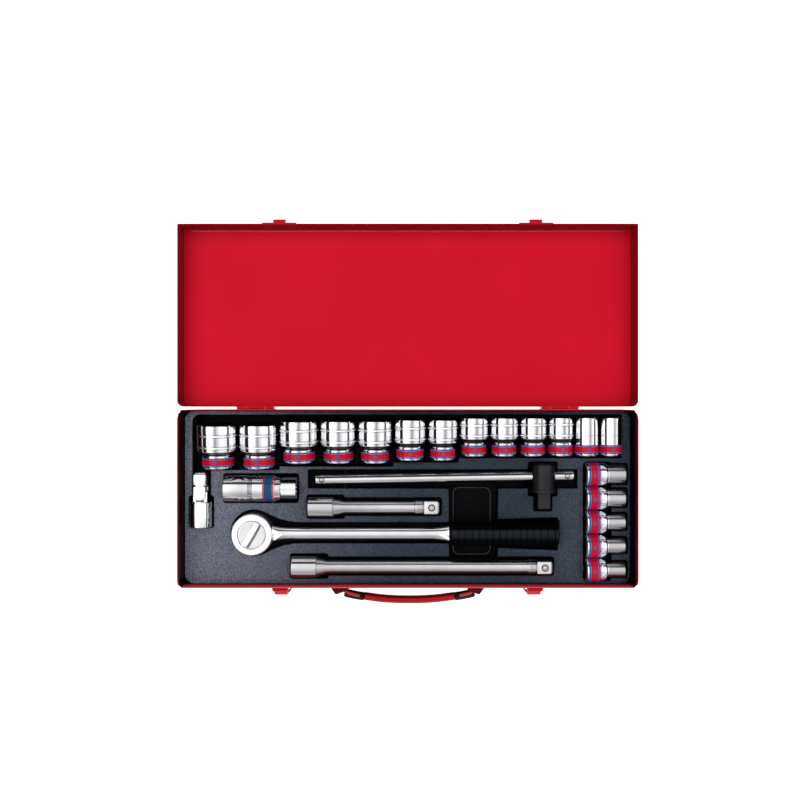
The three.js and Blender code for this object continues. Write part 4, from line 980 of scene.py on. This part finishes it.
LEVER_OUTLINE = [
    (-86.4, 27.6), (-87.5, 28.8), (-89.1, 28.8), (-92.2, 25.2), (-93.6, 24), (-95, 20), (-95.3, 15),
    (-94.6, 10), (-93.6, 7.4), (-92.6, 7.4), (-93.4, 12), (-93.2, 15.5), (-90.4, 17), (-88.6, 20),
    (-86.4, 26),
]


def latches():
    wall = FRONT_WALL
    for side, name in ((-1, "left"), (1, "right")):
        x = side * LATCH_X
        ears = []
        outline = [(wall - 0.5, 23), (wall - 0.5, 31), (-88.3, 29), (-89.3, 28), (-89.3, 26), (-88.3, 25)]
        for low in (x - 7.6, x + 6.6):
            ears.append(bevelled(extruded(outline, low, low + 1, "X"), 0.2))
        plate = joined(
            block(x - 16.25, x + 16.25, wall - 1, wall, 6, 31, 0.35), *ears,
            tube_x(0.8, x - 7.1, x + 7.1, -88.3, 27, 0.2),
        )
        red_part(f"latch_plate_{name}", plate, "case")
        lever = bevelled(extruded(LEVER_OUTLINE, x - 6.2, x + 6.2, "X"), 0.5, 3, 40)
        red_part(f"latch_lever_{name}", lever, f"latch_lever_{name}", 50)
        corners = []
        half, low, high, turn = 7.5, 20 - 17.47, 20, 2
        for cx, cz, from_angle in (
            (x + half - turn, high - turn, 90), (x + half - turn, low + turn, 0),
            (x - half + turn, low + turn, -90), (x - half + turn, high - turn, -180),
        ):
            for i in range(7):
                angle = math.radians(from_angle - 15 * i)
                corners.append(Vector((cx + turn * math.cos(angle), -91.5, cz + turn * math.sin(angle))))
        target = f"latch_loop_{name}"
        loop = wire_loop(corners, 0.9)
        finish_piece(f"{target}_wire", loop, HANDLE_RED, target, None, [target], 60)
        face = HINGE_Y + 0.3 + LID_REACH + 0.2
        keeper = joined(
            block(x - 16.25, x + 16.25, face, face + 1, 22.6, 35.6, 0.35),
            block(x - 6, x + 6, face + 0.5, face + 4.5, 32.5, 33.4, 0.25),
            block(x - 6, x + 6, face + 3.7, face + 4.5, 28.6, 33.4, 0.25),
        )
        red_part(f"catch_{name}", keeper, "lid")


def smooth_path(points, steps):
    """A Catmull-Rom curve through the points."""
    ends = [points[0] * 2 - points[1], *points, points[-1] * 2 - points[-2]]
    path = []
    for i in range(1, len(ends) - 2):
        p0, p1, p2, p3 = ends[i - 1 : i + 3]
        for k in range(steps):
            t = k / steps
            bend, twist = 2 * p0 - 5 * p1 + 4 * p2 - p3, 3 * p1 - p0 - 3 * p2 + p3
            path.append(0.5 * (2 * p1 + (p2 - p0) * t + bend * t**2 + twist * t**3))
    path.append(points[-1])
    return path


def swept(path, section_at):
    """A loft along a path that stays in the XY plane. section_at gives across, up pairs."""
    rings = []
    for i, point in enumerate(path):
        ahead = path[min(i + 1, len(path) - 1)]
        behind = path[max(i - 1, 0)]
        along = (ahead - behind).normalized()
        out = Vector((along.y, -along.x, 0))
        share = i / (len(path) - 1)
        rings.append([point + out * across + Vector((0, 0, up)) for across, up in section_at(share)])
    return loft(rings)


def carrying_handle():
    droop = Matrix.Rotation(math.radians(HANDLE_DROOP), 4, "X")
    matrix = Matrix.Translation(HANDLE_PIVOT) @ droop @ shift(HANDLE_PLAY, 0, 0)

    def oval(across, up, power=0.8):
        points = []
        for j in range(40):
            turn = 2 * math.pi * j / 40
            s, c = math.sin(turn), math.cos(turn)
            x, z = math.copysign(abs(c) ** power, c), math.copysign(abs(s) ** power, s)
            points.append((x * across, z * up))
        return points

    def curve(points):
        return smooth_path([Vector((x, y, 0)) for x, y in points], 10)

    whole = [(-x, y) for x, y in HANDLE_BOW] + [(x, y) for x, y in reversed(HANDLE_BOW[:-1])]
    grip = swept(curve(whole), lambda share: oval(HANDLE_RADIUS, HANDLE_RADIUS * 0.9))
    finish_piece(
        "carrying_handle_grip", grip, GRIP_RED, "handle", matrix, ["carrying_handle"], 50
    )
    sleeves, straps = [], []
    for side in (-1, 1):
        ends = [(side * x, y) for x, y in HANDLE_SLEEVE]
        size = lambda share: oval(5.3 - 2 * max(0, 0.12 - share) / 0.12, 2.6)
        sleeves.append(swept(curve(ends), size))
        ends = [(side * x, y) for x, y in HANDLE_STRAP]
        band = swept(curve(ends), lambda share: oval(1.7, 0.8, 0.4))
        for vert in band.verts:
            share = min(1, max(0, (64.5 - abs(vert.co.x)) / 5))
            vert.co.z += 2.1 * share
        straps.append(band)
        low, high = sorted((side * (BRACKET_X - 6.3), side * (BRACKET_X + 6.3)))
        straps.append(tube_x(1.8, low, high, 0, 0))
    # the sleeves carry painted shade and the straps a painted sheen
    finish_piece("carrying_handle_sleeves", joined(*sleeves), SLEEVE_SHADE_RED, "handle", matrix)
    finish_piece("carrying_handle_straps", joined(*straps), STRAP_SHEEN_RED, "handle", matrix)
    z, wall = HANDLE_PIVOT.z, FRONT_WALL
    for side, name in ((-1, "left"), (1, "right")):
        x0 = side * BRACKET_X - 7.3
        bracket = block(x0, x0 + 14.6, wall - 1, wall, z - 10, z + 10, 0.3)
        eye = [(76.5, wall - 0.5), (70.4, -94.4), (68.6, -94.8), (58.6, -91.2), (57.5, wall - 0.5)]
        eye = bevelled(extruded([(side * a, b) for a, b in eye], z - 3, z + 2.6), 0.7, 2)
        finish_piece(f"handle_eye_{name}", eye, SHADED_RED, "case")
        red_part(f"handle_bracket_{name}", bracket, "case")


def lid_trim():
    """The bead along the foot of the lid's front wall, and the folded tabs in its front corners."""
    bead_line = tube_x(0.7, -211, 211, 258.3, 15.6, 0.4)
    finish_piece("lid_front_bead", bead_line, BEAD_HIGHLIGHT_RED, "lid")
    inner_x, inner_y, rim = 217.2, 259.7, 36.3
    for side, name in ((-1, "left"), (1, "right")):
        near, far = inner_y - 0.6, inner_y - 0.1
        outline = [(near, rim - 7), (far, rim - 7), (far, rim), (near, rim)]
        low, high = sorted((side * inner_x, side * (inner_x - 13)))
        tab = extruded(outline, low, high, "X")
        for vert in tab.verts:
            if abs(vert.co.x) < inner_x - 5 and vert.co.z < rim - 3:
                vert.co.x += side * 5
        finish_piece(f"lid_corner_tab_{name}", bevelled(tab, 0.2), LID_RED, "lid")


def recess_outline():
    """The raised line round the floor of the finger recess."""
    x0, x1, y0, y1, turn, height = 44.9, 81.6, -58, 7.6, 6, 8.4
    points = []
    for cx, cy, start in (
        (x1 - turn, y1 - turn, 0), (x0 + turn, y1 - turn, 90), (x0 + turn, y0 + turn, 180),
        (x1 - turn, y0 + turn, 270),
    ):
        for i in range(9):
            angle = math.radians(start + 90 * i / 8)
            points.append(Vector((cx + turn * math.cos(angle), cy + turn * math.sin(angle), height)))
    ridge = wire_loop(points, 0.55, Vector((0, 0, 1)))
    finish_piece("tray_recess_ridge", ridge, RIDGE, "case", angle=60)


# ---- Scene ----
def studio_light():
    """A bright room with a dark band behind and dark sides, which the chrome mirrors."""
    world = bpy.data.worlds.new("studio")
    bpy.context.scene.world = world
    world.use_nodes = True
    tree = world.node_tree
    background = tree.nodes["Background"]
    direction = shader_node(tree, "TexCoord").outputs["Generated"]
    parts = parts_of(tree, direction)

    def tilt(axis):
        return maths(tree, "DEGREES", maths(tree, "ARCTAN2", parts[axis], parts["Z"]))

    def step(value, low, high, from_value, to_value):
        return spread(tree, value, from_value, to_value, low, high, "SMOOTHSTEP")

    across, along = tilt("X"), tilt("Y")
    sides = maths(tree, "ADD", step(across, -34, 6, 0.5, 0.0), 0.98)
    sides = product(tree, sides, step(across, -57, -48, 0.01, 1.0), step(across, 62, 72, 1.0, 0.01))
    ahead = product(tree, step(along, -60, 5, 0.55, 1.35), step(along, -104, -86, 0.2, 1.0))
    behind = maths(tree, "ADD", step(along, 36, 43, 1.0, 0.05), step(along, 58, 66, 0.0, 0.5))
    rise = maths(tree, "DEGREES", maths(tree, "ARCSINE", parts["Z"]))
    horizon = step(rise, 9, 13, 0.95, 0.0)
    light = maths(tree, "MAXIMUM", product(tree, sides, ahead, behind), horizon)
    tree.links.new(light, background.inputs["Strength"])
    background.inputs["Color"].default_value = (1, 1, 1, 1)


def floor():
    half, drop = 9.0, -0.0005
    bm = bmesh.new()
    corners = [(-half, -half), (half, -half), (half, half), (-half, half)]
    bm.faces.new([bm.verts.new((x, y, drop)) for x, y in corners])
    bmesh.ops.subdivide_edges(bm, edges=bm.edges, cuts=7, use_grid_fill=True)
    mesh = bpy.data.meshes.new("floor")
    bm.to_mesh(mesh)
    bm.free()
    mesh.materials.append(floor_material())
    piece = bpy.data.objects.new("floor", mesh)
    bpy.context.scene.collection.objects.link(piece)


def camera():
    data = bpy.data.cameras.new("camera")
    data.sensor_width = 36
    data.lens = data.sensor_width / 2 / VIEW_SLOPE
    data.clip_start = 0.01
    data.clip_end = 20
    piece = bpy.data.objects.new("camera", data)
    bpy.context.scene.collection.objects.link(piece)
    piece.location = CAMERA * METRE
    bpy.context.scene.camera = piece
    bpy.context.scene.view_settings.view_transform = "Standard"


row_sockets()
column_sockets()
spark_plug_socket()
for kind in EXTENSIONS:
    extension(kind)
sliding_bar()
universal_joint()
ratchet()
soften("base_shell", BASE_RED, 0.35)
soften("lid_shell", LID_RED, 0.35)
soften("tray_insert", TRAY, 0.6)
hinges()
latches()
carrying_handle()
lid_trim()
recess_outline()
floor()
camera()
studio_light()
